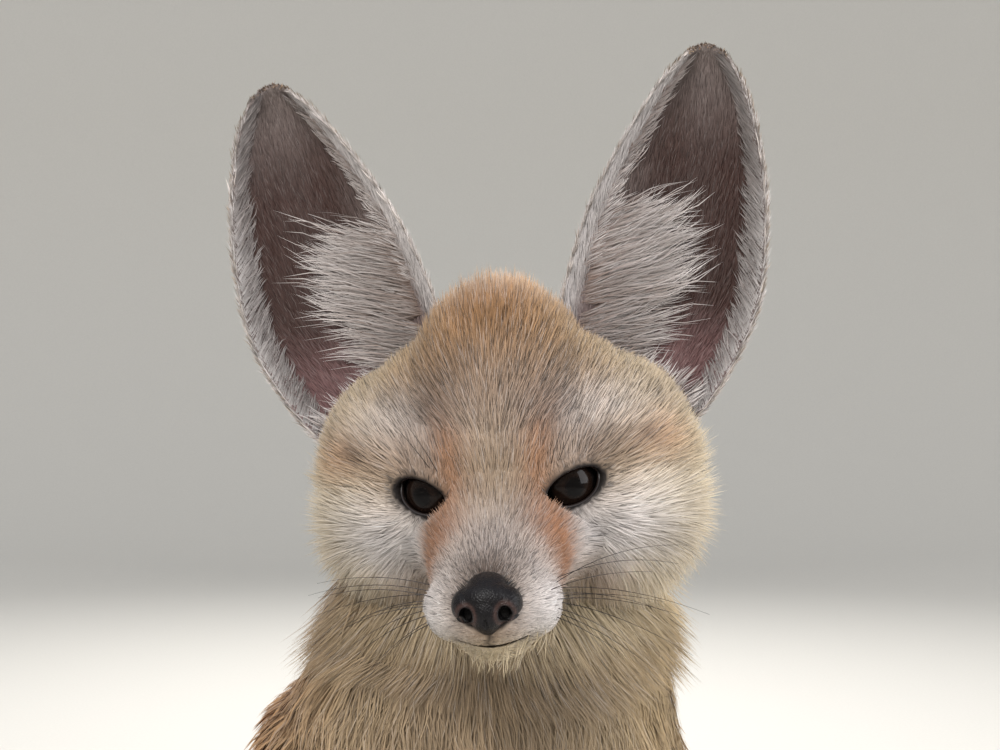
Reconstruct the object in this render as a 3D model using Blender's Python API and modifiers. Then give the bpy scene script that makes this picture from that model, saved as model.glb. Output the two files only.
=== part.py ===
"""A fennec fox, life size, sitting upright with its head turned to its right.

Metres, +Z up. The fox faces -Y and its right side is towards -X. It is modelled whole at the
outer surface of its coat, from overlapping masses fused into one form, and then parted by thin
cuts into the pieces that a person would name.
"""

import math

import bpy
import bmesh
import numpy as np
from mathutils import Matrix, Vector
from mathutils.bvhtree import BVHTree

# The gap that pieces keep where they meet.
GAP = 0.0003
# The voxel of the body's form and of the finer head, ears, feet and nose.
BODY_VOXEL = 0.0030
HEAD_VOXEL = 0.0015
FOOT_VOXEL = 0.0011
# Triangles that each fused form keeps.
BODY_FACES = 1600
HEAD_FACES = 1880
FOOT_FACES = 170
NOSE_FACES = 220

# How far the long coat stands off the core that its locks grow from.
NECK_COAT = 0.0095
CHEST_COAT = 0.0075
CHEEK_COAT = 0.0060
TAIL_CORE = 0.60
EAR_COAT = 0.0026
# How deep the root of a lock is sunk, on the body and in the thin wall of an ear.
ROOT_DEPTH = 0.0035
EAR_ROOT_DEPTH = 0.0007

# Where the head is held: the point midway between the eyes, and the head's turn, nod and lean.
EYE_MIDDLE = Vector((-0.011, -0.050, 0.243))
HEAD_TURN = math.radians(-23.5)
HEAD_NOD = math.radians(11.0)
HEAD_LEAN = math.radians(-4.2)

# The eyes, from the middle between them.
EYE_APART = 0.0187
EYE_RADIUS = 0.0088
EYE_LOOK = Vector((0.42, -0.90, 0.10)).normalized()
LID_THICKNESS = 0.0013
EYE_OPENING = (0.0081, 0.0043)
EYE_SLANT = math.radians(22.0)

# The ears, in a frame that stays upright when the head nods: (x, z) along each edge.
EAR_INNER = [(0.022, 0.020), (0.0150, 0.034), (0.0155, 0.046), (0.0190, 0.058), (0.0254, 0.073),
             (0.0355, 0.089), (0.0450, 0.1010), (0.0530, 0.1085)]
EAR_OUTER = [(0.034, 0.004), (0.0505, 0.014), (0.0620, 0.0290), (0.0685, 0.0430), (0.0712, 0.0600),
             (0.0715, 0.0760), (0.0690, 0.0940), (0.0645, 0.1065)]
EAR_TIP_RISE = 0.0042
EAR_EDGE_BACK = 0.031
EAR_CUP_DEPTH = 0.017
EAR_LEAN_BACK = 0.10
EAR_THICKNESS = 0.0026

# The lower jaw: half its width, its hinge end and its underside, in the head's axes.
JAW_HALF_WIDTH = 0.0185
JAW_BACK = -0.0120
JAW_LOW = -0.0345

# The heights at which the wrist, the hind foot and the elbow are parted, and the elbow's back.
WRIST_HEIGHT = 0.026
HEEL_HEIGHT = 0.024
ELBOW_HEIGHT = 0.092
ELBOW_BACK = 0.010

# The planes that part the head from the neck and the neck from the chest: a point and a facing.
COLLAR = ((0, -0.012, 0.212), (0, -0.42, 0.91))
COLLAR_RISE = 0.42 / 0.91
SHOULDERS = ((0, -0.004, 0.176), (0, -0.25, 0.97))
# The planes that part the chest from the trunk and the trunk from the hips.
WITHERS = ((0, 0.036, 0.130), (0, 0.95, -0.30))
LOIN = ((0, 0.094, 0.075), (0, 0.72, -0.69))
# The region that parts a thigh from the trunk.
THIGH_CENTRE = (0.062, 0.078, 0.062)
THIGH_RADII = (0.036, 0.066, 0.064)

# The ruff's rows, by how far each lies under the collar, and how many locks go round the neck.
RUFF_ROWS = (-0.009, 0.007, 0.020, 0.043, 0.058, 0.073, 0.088)
RUFF_ROUND = 13
# The rows of locks on a cheek: how far behind the eyes, and how many.
CHEEK_ROWS = ((0.016, 4), (0.032, 4))
# The fringe in an ear: the first and last place up it, how many locks, where across the ear they
# root, and how far across and up they reach, all as shares of the ear.
EAR_FRINGE = ((0.27, 0.63, 6, 0.11, 0.42, 0.05), (0.38, 0.72, 4, 0.89, -0.24, 0.03))
# Where the tail is parted and where its last lock roots, in steps along its line.
TAIL_STEPS = 91
TAIL_CUTS = (17, 40, 64)
TAIL_LAST_LOCK = 83
TAIL_CUT_HALF = 0.028
# How far one lock of the tail is from the next, along it in steps and round it.
TAIL_LOCK_STEP = 0.95
GOLDEN_TURN = math.radians(137.5)

# The tail's middle line, laid on the floor round the right hind foot, and its radii.
TAIL_LINE = [(0.010, 0.118, 0.0420), (-0.012, 0.148, 0.0320), (-0.044, 0.168, 0.0240),
             (-0.079, 0.163, 0.0230), (-0.101, 0.136, 0.0243), (-0.110, 0.098, 0.0246),
             (-0.109, 0.056, 0.0226), (-0.103, 0.018, 0.0176), (-0.096, -0.010, 0.0102),
             (-0.092, -0.022, 0.0066)]
TAIL_RADII = [0.016, 0.0170, 0.0210, 0.0245, 0.0262, 0.0265, 0.0245, 0.0195, 0.0130, 0.0070]


def head_frame():
    """The matrix from the head's own axes to the fox's: turn, then nod, then lean."""
    turn = Matrix.Rotation(HEAD_TURN, 4, "Z")
    nod = Matrix.Rotation(HEAD_NOD, 4, "X")
    lean = Matrix.Rotation(HEAD_LEAN, 4, "Y")
    return Matrix.Translation(EYE_MIDDLE) @ turn @ nod @ lean


HEAD = head_frame()
EAR = HEAD @ Matrix.Rotation(-HEAD_NOD, 4, "X")


def along(values, count):
    """count values on a smooth curve through the given ones, by Catmull-Rom spans."""
    given = np.asarray(values, float)
    if given.ndim == 1:
        given = given[:, None]
    padded = np.vstack([2 * given[0] - given[1], given, 2 * given[-1] - given[-2]])
    place = np.linspace(0, len(given) - 1, count)
    first = np.minimum(place.astype(int), len(given) - 2)
    t = (place - first)[:, None]
    before, start, end, after = (padded[first + k] for k in range(4))
    return 0.5 * (2 * start + (end - before) * t
                  + (2 * before - 5 * start + 4 * end - after) * t ** 2
                  + (3 * start - before - 3 * end + after) * t ** 3)


def mesh_object(name, points, faces):
    """A closed mesh object from points and faces, its faces turned outwards."""
    mesh = bpy.data.meshes.new(name)
    mesh.from_pydata([tuple(p) for p in points], [], faces)
    form = bmesh.new()
    form.from_mesh(mesh)
    bmesh.ops.recalc_face_normals(form, faces=form.faces)
    form.to_mesh(mesh)
    form.free()
    shaped = bpy.data.objects.new(name, mesh)
    bpy.context.scene.collection.objects.link(shaped)
    return shaped


def loft(name, centres, spans, rings=18, sides=16, across=(1, 0, 0)):
    """An elliptical section of half sizes spans, carried along a curve through centres."""
    line = along(centres, rings)
    size = along(spans, rings)
    if size.shape[1] == 1:
        size = np.repeat(size, 2, axis=1)
    size = np.maximum(size, 0.0004)
    tangent = np.gradient(line, axis=0)
    tangent /= np.linalg.norm(tangent, axis=1)[:, None]
    side = np.asarray(across, float) - tangent * (tangent @ np.asarray(across, float))[:, None]
    side /= np.linalg.norm(side, axis=1)[:, None]
    over = np.cross(tangent, side)
    angle = np.arange(sides) * 2 * math.pi / sides
    points = (line[:, None]
              + side[:, None] * (size[:, 0:1] * np.cos(angle))[..., None]
              + over[:, None] * (size[:, 1:2] * np.sin(angle))[..., None]).reshape(-1, 3)
    faces = [(r * sides + s, r * sides + (s + 1) % sides,
              (r + 1) * sides + (s + 1) % sides, (r + 1) * sides + s)
             for r in range(rings - 1) for s in range(sides)]
    faces.append(tuple(range(sides)))
    faces.append(tuple((rings - 1) * sides + s for s in reversed(range(sides))))
    return mesh_object(name, points, faces)


def ellipsoid(name, centre, radii, frame=Matrix.Identity(4), segments=24):
    """A scaled sphere at centre in the given frame."""
    form = bmesh.new()
    bmesh.ops.create_uvsphere(form, u_segments=segments, v_segments=segments * 2 // 3, radius=1)
    place = frame @ Matrix.Translation(centre) @ Matrix.Diagonal((*radii, 1))
    bmesh.ops.transform(form, matrix=place, verts=form.verts)
    mesh = bpy.data.meshes.new(name)
    form.to_mesh(mesh)
    form.free()
    shaped = bpy.data.objects.new(name, mesh)
    bpy.context.scene.collection.objects.link(shaped)
    return shaped


def box(name, low, high, frame=Matrix.Identity(4)):
    """A box between two corners in the given frame."""
    form = bmesh.new()
    bmesh.ops.create_cube(form, size=1)
    low, high = Vector(low), Vector(high)
    size = high - low
    place = frame @ Matrix.Translation((low + high) / 2) @ Matrix.Diagonal((*size, 1))
    bmesh.ops.transform(form, matrix=place, verts=form.verts)
    mesh = bpy.data.meshes.new(name)
    form.to_mesh(mesh)
    form.free()
    shaped = bpy.data.objects.new(name, mesh)
    bpy.context.scene.collection.objects.link(shaped)
    return shaped


def placed(centre, facing):
    """A frame at centre whose Z axis points along facing."""
    turn = Vector(facing).normalized().to_track_quat("Z", "Y").to_matrix().to_4x4()
    return Matrix.Translation(centre) @ turn


def slab(name, centre, facing, half_width, half_depth):
    """A sheet one gap thick across the facing direction."""
    return box(name, (-half_width, -half_depth, -GAP / 2), (half_width, half_depth, GAP / 2),
               placed(centre, facing))


def discard(things):
    """Removes objects and their meshes."""
    for thing in things:
        mesh = thing.data
        bpy.data.objects.remove(thing)
        bpy.data.meshes.remove(mesh)


def settle(thing):
    """Applies an object's modifiers to its mesh."""
    graph = bpy.context.evaluated_depsgraph_get()
    mesh = bpy.data.meshes.new_from_object(thing.evaluated_get(graph))
    old = thing.data
    thing.modifiers.clear()
    thing.data = mesh
    bpy.data.meshes.remove(old)
    return thing


def combined(thing, others, operation, solver="MANIFOLD"):
    """thing joined with, or cut by, the others in one Boolean, which are then removed."""
    group = bpy.data.collections.new("pieces")
    for other in others:
        group.objects.link(other)
    change = thing.modifiers.new("combine", "BOOLEAN")
    change.operation = operation
    change.operand_type = "COLLECTION"
    change.collection = group
    change.solver = solver
    settle(thing)
    bpy.data.collections.remove(group)
    discard(others)
    return thing


def joined(name, things):
    """One object holding the meshes of the things, which are removed."""
    form = bmesh.new()
    for thing in things:
        form.from_mesh(thing.data)
    mesh = bpy.data.meshes.new(name)
    form.to_mesh(mesh)
    form.free()
    discard(things)
    whole = bpy.data.objects.new(name, mesh)
    bpy.context.scene.collection.objects.link(whole)
    return whole


def fused(name, masses, voxel, rounds, faces):
    """The masses as one smooth closed form with about the given number of triangles."""
    whole = joined(name, masses)
    remesh = whole.modifiers.new("remesh", "REMESH")
    remesh.mode = "VOXEL"
    remesh.voxel_size = voxel
    soften = whole.modifiers.new("soften", "SMOOTH")
    soften.factor = 0.5
    soften.iterations = rounds
    settle(whole)
    if faces:
        thin(whole, faces)
    return whole


def thin(thing, faces):
    """Reduces a mesh to about the given number of triangles."""
    thing.data.calc_loop_triangles()
    fewer = thing.modifiers.new("fewer", "DECIMATE")
    fewer.ratio = min(1.0, faces / len(thing.data.loop_triangles))
    fewer.use_collapse_triangulate = True
    return settle(thing)


def islands(thing):
    """The separate closed surfaces of a mesh, each as a new object; the thing is removed."""
    form = bmesh.new()
    form.from_mesh(thing.data)
    bmesh.ops.triangulate(form, faces=form.faces)
    form.faces.ensure_lookup_table()
    seen = set()
    found = []
    for start in form.faces:
        if start.index in seen:
            continue
        seen.add(start.index)
        stack, members = [start], []
        while stack:
            face = stack.pop()
            members.append(face)
            for edge in face.edges:
                for other in edge.link_faces if len(edge.link_faces) == 2 else ():
                    if other.index not in seen:
                        seen.add(other.index)
                        stack.append(other)
        corners = {v.index: v for face in members for v in face.verts}
        order = {index: k for k, index in enumerate(corners)}
        mesh = bpy.data.meshes.new("island")
        mesh.from_pydata([v.co[:] for v in corners.values()], [],
                         [[order[v.index] for v in face.verts] for face in members])
        found.append(bpy.data.objects.new("island", mesh))
        bpy.context.scene.collection.objects.link(found[-1])
    form.free()
    discard([thing])
    return found


def volume(thing):
    """The volume inside a closed mesh."""
    form = bmesh.new()
    form.from_mesh(thing.data)
    inside = form.calc_volume(signed=True)
    form.free()
    return inside


def largest(thing):
    """Keeps a mesh's largest closed surface."""
    name = thing.name
    found = sorted(islands(thing), key=volume)
    kept = found.pop()
    discard(found)
    kept.name = name
    return kept


def middle(thing):
    """The mean of a mesh's points."""
    points = np.empty(len(thing.data.vertices) * 3)
    thing.data.vertices.foreach_get("co", points)
    return Vector(points.reshape(-1, 3).mean(axis=0))


def nearest(things, place):
    """The thing whose middle lies nearest a place, taken out of the list."""
    found = min(things, key=lambda thing: (middle(thing) - Vector(place)).length)
    things.remove(found)
    return found


def swollen(thing, by):
    """A copy of a mesh with its surface moved out."""
    copy = bpy.data.objects.new(thing.name + "_swollen", thing.data.copy())
    bpy.context.scene.collection.objects.link(copy)
    push = copy.modifiers.new("push", "DISPLACE")
    push.mid_level = 0.0
    push.strength = by
    return settle(copy)


def mirrored(point, side):
    """A point with its x turned to one side."""
    return Vector((point[0] * side, point[1], point[2]))


def eye_centre(side):
    """The centre of an eyeball, in the head's axes."""
    front = Vector((EYE_APART * side, 0, 0))
    return front - mirrored(EYE_LOOK, side) * EYE_RADIUS


def eye_frame(side):
    """The frame at an eyeball's centre, Z out of the eye and X along its slanted opening."""
    look = mirrored(EYE_LOOK, side)
    level = Vector((0, 0, 1)).cross(look).normalized()
    up = look.cross(level)
    # The outer corner of each eye is the higher one.
    along_slit = (level * math.cos(EYE_SLANT) + up * math.sin(EYE_SLANT) * side).normalized()
    rise = look.cross(along_slit)
    turn = Matrix((along_slit, rise, look)).transposed().to_4x4()
    return HEAD @ Matrix.Translation(eye_centre(side)) @ turn


def almond(half_length, half_height, count):
    """Points round a pointed oval."""
    angle = np.arange(count) * 2 * math.pi / count
    fullness = np.abs(np.sin(angle)) ** 1.25 * np.sign(np.sin(angle))
    return np.stack([half_length * np.cos(angle), half_height * fullness], axis=1)


def eye_slot(side, half_length, half_height):
    """A cutter out along the eye's axis, almond in section."""
    outline = almond(half_length, half_height, 14)
    count = len(outline)
    near = [(x, y, EYE_RADIUS * 0.3) for x, y in outline]
    far = [(x * 1.25, y * 1.25, EYE_RADIUS * 2.2) for x, y in outline]
    frame = eye_frame(side)
    points = [frame @ Vector(p) for p in near + far]
    faces = [(k, (k + 1) % count, count + (k + 1) % count, count + k) for k in range(count)]
    faces += [tuple(reversed(range(count))), tuple(range(count, 2 * count))]
    return mesh_object("eye_slot", points, faces)


def lid_rim(side):
    """The raised margin of the lids, a tube along the almond on the lids' surface."""
    outline = almond(EYE_OPENING[0] * 1.10, EYE_OPENING[1] * 1.25, 14)
    out = EYE_RADIUS + LID_THICKNESS * 0.75
    frame = eye_frame(side)
    line = [frame @ Vector((x, y, math.sqrt(max(out ** 2 - x * x - y * y, 1e-8)))) for x, y in outline]
    count, sides, radius = len(line), 5, 0.0009
    points = []
    centre = frame @ Vector((0, 0, 0))
    for k, point in enumerate(line):
        tangent = (line[(k + 1) % count] - line[k - 1]).normalized()
        outward = (point - centre).normalized()
        beside = tangent.cross(outward).normalized()
        for s in range(sides):
            angle = 2 * math.pi * s / sides
            points.append(point + outward * math.cos(angle) * radius + beside * math.sin(angle) * radius)
    faces = [(k * sides + s, k * sides + (s + 1) % sides,
              ((k + 1) % count) * sides + (s + 1) % sides, ((k + 1) % count) * sides + s)
             for k in range(count) for s in range(sides)]
    return mesh_object("lid_rim", points, faces)


def neck_masses():
    """The neck, up into the head, inside its ruff."""
    spans = [(0.030, 0.022), (0.0440, 0.034), (0.0520, 0.043), (0.0575, 0.050), (0.0600, 0.053)]
    depths = [0.0, NECK_COAT * 0.7, NECK_COAT, NECK_COAT, NECK_COAT]
    return [loft("neck", [(0.002, -0.016, 0.246), (0.002, -0.011, 0.226), (0.0035, -0.006, 0.206),
                          (0.002, -0.003, 0.186), (0, 0.003, 0.162)],
                 [(a - d, b - d) for (a, b), d in zip(spans, depths)])]


def torso_masses():
    """The trunk from the shoulders to the rump, the chest and the rump on the floor."""
    trunk = loft("trunk", [(0, -0.002, 0.190), (0, 0.0045, 0.172), (0, 0.019, 0.150), (0, 0.043, 0.126),
                           (0, 0.070, 0.099), (0, 0.096, 0.075), (0, 0.122, 0.056), (0, 0.143, 0.045)],
                 [(0.047, 0.040), (0.0590, 0.047), (0.0620, 0.050), (0.0585, 0.051),
                  (0.0570, 0.051), (0.0565, 0.050), (0.0490, 0.044), (0.032, 0.030)])
    chest = ellipsoid("chest", (0, -0.022, 0.150), (0.046 - CHEST_COAT * 0.5, 0.038 - CHEST_COAT,
                                                    0.050 - CHEST_COAT * 0.5))
    rump = ellipsoid("rump", (0, 0.122, 0.040), (0.041, 0.036, 0.044))
    return [trunk, chest, rump]


def limb_masses(side):
    """A shoulder and foreleg down to the wrist, and the folded thigh and knee."""
    shoulder = ellipsoid("shoulder", (0.040 * side, 0.000, 0.146), (0.0225, 0.030, 0.040))
    foreleg = loft("foreleg", [(0.034 * side, -0.004, 0.125), (0.031 * side, -0.010, 0.100),
                               (0.0275 * side, -0.022, 0.072), (0.025 * side, -0.034, 0.045),
                               (0.024 * side, -0.041, 0.018)],
                   [0.020, 0.0170, 0.0135, 0.0120, 0.0118])
    thigh = ellipsoid("thigh", (0.047 * side, 0.082, 0.064), (0.027, 0.050, 0.047))
    knee = ellipsoid("knee", (0.053 * side, 0.042, 0.058), (0.0185, 0.027, 0.030))
    shank = loft("shank", [(0.053 * side, 0.030, 0.050), (0.051 * side, 0.060, 0.036),
                           (0.048 * side, 0.100, 0.022), (0.047 * side, 0.122, 0.014)],
                 [0.016, 0.015, 0.0135, 0.012])
    return [shoulder, foreleg, thigh, knee, shank]


def tail_core():
    """The middle line and the radii of the tail's core, which comes down to lie on the floor."""
    radii = [r * TAIL_CORE for r in TAIL_RADII]
    line = [(x, y, z - (r - core) * min(1.0, k / 3))
            for k, ((x, y, z), r, core) in enumerate(zip(TAIL_LINE, TAIL_RADII, radii))]
    return line, radii


def tail_masses():
    """The core of the tail, laid round on the floor inside its brush."""
    line, radii = tail_core()
    return [loft("tail", line, radii, rings=30, across=(0, 0, 1))]


def head_masses():
    """Skull, brow, muzzle, pads, chin, throat, the crown's slopes, temples, cheeks and the lids' mounds."""
    masses = [
        ellipsoid("cranium", (0, 0.030, 0.0105), (0.0285, 0.036, 0.0355), HEAD),
        ellipsoid("brow", (0, 0.010, 0.0035), (0.0270, 0.0180, 0.0185), HEAD),
        ellipsoid("breadth", (0, 0.027, 0.003), (0.0480 - CHEEK_COAT * 0.5, 0.027, 0.030), HEAD),
        ellipsoid("chin", (0, -0.0265, -0.0265), (0.0095, 0.0100, 0.0058), HEAD),
        ellipsoid("throat", (0, -0.0040, -0.0200), (0.0160, 0.0240, 0.0110), HEAD),
    ]
    muzzle = [(0, 0.012, -0.0100), (0, -0.002, -0.0118), (0, -0.012, -0.0142), (0, -0.0220, -0.0166),
              (0, -0.0310, -0.0183), (0, -0.0375, -0.0187), (0, -0.0410, -0.0187)]
    masses.append(loft("muzzle", [HEAD @ Vector(p) for p in muzzle],
                       [(0.0300, 0.0220), (0.0225, 0.0172), (0.0182, 0.0138), (0.0162, 0.0115),
                        (0.0142, 0.0100), (0.0105, 0.0080), (0.0055, 0.0050)],
                       across=(HEAD.to_3x3() @ Vector((1, 0, 0)))))
    for side in (1, -1):
        masses += [
            ellipsoid("slope", (0.0170 * side, 0.027, 0.0080), (0.0215, 0.0245, 0.0255), HEAD),
            ellipsoid("temple", (0.0245 * side, 0.028, 0.0035), (0.0245, 0.026, 0.0248), HEAD),
            ellipsoid("cheek", (0.0240 * side, 0.0245, -0.0090),
                      (0.0268 - CHEEK_COAT * 0.8, 0.0260, 0.0250 - CHEEK_COAT * 0.4), HEAD),
            ellipsoid("ruff", (0.0265 * side, 0.028, -0.0180),
                      (0.0200 - CHEEK_COAT, 0.024 - CHEEK_COAT, 0.0220 - CHEEK_COAT), HEAD),
            ellipsoid("pad", (0.0080 * side, -0.0280, -0.0193), (0.0088, 0.0100, 0.0084), HEAD),
        ]
        look = HEAD @ eye_centre(side)
        masses.append(ellipsoid("lids", look, (EYE_RADIUS + LID_THICKNESS,) * 3))
    return masses


def mouth_height(x, y):
    """The height of the mouth's line in the head's axes: it rises to the sides and backwards."""
    return -0.0252 + 14.0 * x * x + 0.12 * (y + 0.038)


def jaw_cutter(grow):
    """What lies under the mouth's line and before the throat; grow moves its faces out."""
    half = JAW_HALF_WIDTH + grow
    xs = np.linspace(-half, half, 9)
    ys = np.array([-0.050, -0.040, -0.034, -0.026, -0.016, JAW_BACK + grow])
    # The lips part by this much in front and meet at the corners.
    parting = np.interp(ys, [-0.040, -0.020, JAW_BACK], [0.0011, 0.0004, 0.0])
    top = [(x, y, mouth_height(x, y) + (grow + part if grow else 0.0))
           for y, part in zip(ys, parting) for x in xs]
    low = [(x, y, JAW_LOW - grow) for y in ys for x in xs]
    wide, deep = len(xs), len(ys)
    points = [HEAD @ Vector(p) for p in top + low]
    under = wide * deep

    def cell(r, c):
        return r * wide + c

    faces = []
    for r in range(deep - 1):
        for c in range(wide - 1):
            ring = (cell(r, c), cell(r, c + 1), cell(r + 1, c + 1), cell(r + 1, c))
            faces.append(ring)
            faces.append(tuple(under + k for k in reversed(ring)))
    rim = ([cell(0, c) for c in range(wide)] + [cell(r, wide - 1) for r in range(1, deep)]
           + [cell(deep - 1, c) for c in reversed(range(wide - 1))]
           + [cell(r, 0) for r in reversed(range(1, deep - 1))])
    faces += [(rim[k], rim[(k + 1) % len(rim)], under + rim[(k + 1) % len(rim)], under + rim[k])
              for k in range(len(rim))]
    return mesh_object("jaw_cutter", points, faces)


def nose_pad():
    """The bare nose: a rounded pad, flat in front, with two comma-shaped nostrils."""
    pad = fused("nose", [
        ellipsoid("bridge", (0, -0.0365, -0.0122), (0.0056, 0.0056, 0.0036), HEAD),
        ellipsoid("front", (0, -0.0395, -0.0145), (0.0066, 0.0042, 0.0052), HEAD),
        ellipsoid("wing", (0.0042, -0.0380, -0.0142), (0.0036, 0.0048, 0.0038), HEAD),
        ellipsoid("wing", (-0.0042, -0.0380, -0.0142), (0.0036, 0.0048, 0.0038), HEAD),
        ellipsoid("lip", (0, -0.0390, -0.0190), (0.0026, 0.0034, 0.0030), HEAD),
    ], 0.0005, 6, NOSE_FACES)
    cutters = []
    for side in (1, -1):
        cutters.append(ellipsoid("nostril", (0.0031 * side, -0.0437, -0.0154),
                                 (0.00155, 0.0036, 0.0018), HEAD, 8))
        slit = [(0.0036, -0.0433, -0.0156), (0.0054, -0.0420, -0.0164), (0.0074, -0.0395, -0.0160)]
        cutters.append(loft("slit", [HEAD @ mirrored(p, side) for p in slit],
                            [0.0010, 0.0007, 0.0004], rings=4, sides=5))
    return largest(combined(pad, cutters, "DIFFERENCE"))


def ear_surface(u, v, side):
    """A point of the ear's inner surface: u runs from root to tip, v from inner to outer edge."""
    inner = along(EAR_INNER, 81)
    outer = along(EAR_OUTER, 81)
    step = np.clip(np.round(u * 80).astype(int), 0, 80)
    edge_in, edge_out = inner[step], outer[step]
    spread = v[..., None]
    flat = edge_in * (1 - spread) + edge_out * spread
    # The last row bows up to round the tip.
    flat[..., 1] += EAR_TIP_RISE * np.sin(math.pi * v) * u ** 6
    cup = EAR_CUP_DEPTH * (1 - 0.15 * u) * np.sqrt(np.clip(1 - u ** 3, 0, 1))
    hollow = np.sin(math.pi * np.clip(v, 0, 1) ** 0.9) ** 0.75
    back = EAR_EDGE_BACK + EAR_LEAN_BACK * (flat[..., 1] - 0.03) + cup * hollow
    return np.stack([flat[..., 0] * side, back, flat[..., 1]], axis=-1)


def ear(side, rows=16, columns=10):
    """A cupped ear: one bent sheet with a wall."""
    name = "ear_left" if side > 0 else "ear_right"
    u, v = np.meshgrid(np.linspace(0, 1, rows), np.linspace(0, 1, columns), indexing="ij")
    grid = ear_surface(u, v, side).reshape(-1, 3)
    points = [EAR @ Vector(p) for p in grid]
    faces = [(r * columns + c, r * columns + c + 1, (r + 1) * columns + c + 1, (r + 1) * columns + c)
             for r in range(rows - 1) for c in range(columns - 1)]
    if side > 0:
        faces = [tuple(reversed(f)) for f in faces]
    mesh = bpy.data.meshes.new(name)
    mesh.from_pydata([tuple(p) for p in points], [], faces)
    sheet = bpy.data.objects.new(name, mesh)
    bpy.context.scene.collection.objects.link(sheet)
    wall = sheet.modifiers.new("wall", "SOLIDIFY")
    wall.thickness = EAR_THICKNESS
    wall.offset = 0.0
    wall.use_even_offset = False
    split = sheet.modifiers.new("split", "TRIANGULATE")
    split.quad_method = "FIXED"
    return settle(sheet)


def paw(name, centre, turn, length, width, height, top):
    """A foot flat on the floor: a sole, four toes with claws, cut off level at the top."""
    frame = Matrix.Translation(centre) @ Matrix.Rotation(turn, 4, "Z")
    masses = [loft("sole", [frame @ Vector(p) for p in
                            [(0, length * 0.55, height * 0.62), (0, length * 0.20, height * 0.58),
                             (0, -length * 0.15, height * 0.52), (0, -length * 0.30, height * 0.45)]],
                   [(width * 0.86, height * 0.62), (width * 0.92, height * 0.60),
                    (width, height * 0.54), (width * 0.86, height * 0.45)],
                   across=frame.to_3x3() @ Vector((1, 0, 0)))]
    toes = [(-0.72, -0.22, 0.26), (-0.27, -0.34, 0.30), (0.27, -0.34, 0.30), (0.72, -0.22, 0.26)]
    for x, y, r in toes:
        masses.append(ellipsoid("toe", (x * width, y * length - 0.004, height * 0.42),
                                (width * r * 1.12, width * 0.62, height * 0.46), frame, 16))
    foot = fused(name, masses, FOOT_VOXEL, 4, FOOT_FACES)
    claws = []
    for x, y, r in toes:
        tip = y * length - 0.004 - width * 0.62
        line = [(x * width, tip + 0.0040, height * 0.46), (x * width, tip + 0.0002, height * 0.44),
                (x * width * 1.02, tip - 0.0026, height * 0.20)]
        claws.append(loft("claw", [frame @ Vector(p) for p in line], [0.0011, 0.0010, 0.0002],
                          rings=3, sides=4))
    combined(foot, claws, "UNION")
    trims = [floor(), box("above", (-0.5, -0.5, top - GAP / 2), (0.5, 0.5, 0.1))]
    return largest(combined(foot, trims, "DIFFERENCE"))


def body_cuts():
    """The thin sheets and boxes that part the body into its pieces."""
    cuts = [slab("collar", COLLAR[0], COLLAR[1], 0.09, 0.09),
            slab("shoulders", SHOULDERS[0], SHOULDERS[1], 0.09, 0.09),
            slab("withers", *WITHERS, 0.09, 0.075),
            slab("loin", *LOIN, 0.09, 0.07)]
    for side in (1, -1):
        near, far = sorted((0.008 * side, 0.060 * side))
        elbow = ELBOW_HEIGHT + GAP / 2
        cuts.append(box("elbow", (near, -0.070, elbow - GAP), (far, ELBOW_BACK, elbow)))
        cuts.append(box("elbow_back", (near, ELBOW_BACK - 0.0005, elbow - 0.04), (far, ELBOW_BACK, elbow)))
        cuts.append(box("wrist", (near - 0.01, -0.080, -0.05), (far + 0.01, 0.0, WRIST_HEIGHT + GAP / 2)))
        near, far = sorted((0.033 * side, 0.072 * side))
        cuts.append(box("heel", (near, -0.02, -0.05), (far, 0.138, HEEL_HEIGHT + GAP / 2)))
    line = along(TAIL_LINE, TAIL_STEPS)
    for step in TAIL_CUTS:
        tangent = line[step + 1] - line[step - 1]
        cuts.append(slab("tail_cut", line[step], tangent, TAIL_CUT_HALF, TAIL_CUT_HALF))
    cuts.append(floor())
    return cuts


def floor():
    """A block under the floor, for trimming what reaches past it."""
    return box("floor", (-0.5, -0.5, -0.1), (0.5, 0.5, 0.0))


def thigh_region(side, grow):
    """The rounded region that parts a thigh from the trunk."""
    return ellipsoid("thigh_region", mirrored(THIGH_CENTRE, side),
                     [r + grow for r in THIGH_RADII], segments=32)


def body_pieces():
    """The trunk, neck, legs and tail, parted from one fused form, and that form's surface."""
    masses = torso_masses() + neck_masses() + tail_masses()
    for side in (1, -1):
        masses += limb_masses(side)
    whole = fused("body", masses, BODY_VOXEL, 8, BODY_FACES)
    tree = surface(whole)
    combined(whole, body_cuts(), "DIFFERENCE")
    named = {}
    for side, name in ((1, "thigh_left"), (-1, "thigh_right")):
        thigh = bpy.data.objects.new(name, whole.data.copy())
        bpy.context.scene.collection.objects.link(thigh)
        combined(thigh, [thigh_region(side, -GAP / 2)], "INTERSECT")
        named[name] = largest(thigh)
    combined(whole, [thigh_region(side, GAP / 2) for side in (1, -1)], "DIFFERENCE")
    found = islands(whole)
    places = {
        "chest": (0, -0.012, 0.145),
        "torso": (0, 0.06, 0.11),
        "hips": (0, 0.115, 0.05),
        "neck": (0, -0.008, 0.192),
        "foreleg_left": (0.027, -0.03, 0.06),
        "foreleg_right": (-0.027, -0.03, 0.06),
        "tail_base": (-0.045, 0.168, 0.025),
        "tail_middle": (-0.108, 0.110, 0.025),
        "tail_tip": (-0.104, 0.020, 0.018),
    }
    for name, place in places.items():
        piece = nearest(found, place)
        piece.name = name
        named[name] = piece
    discard(found)
    return named, tree


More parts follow.
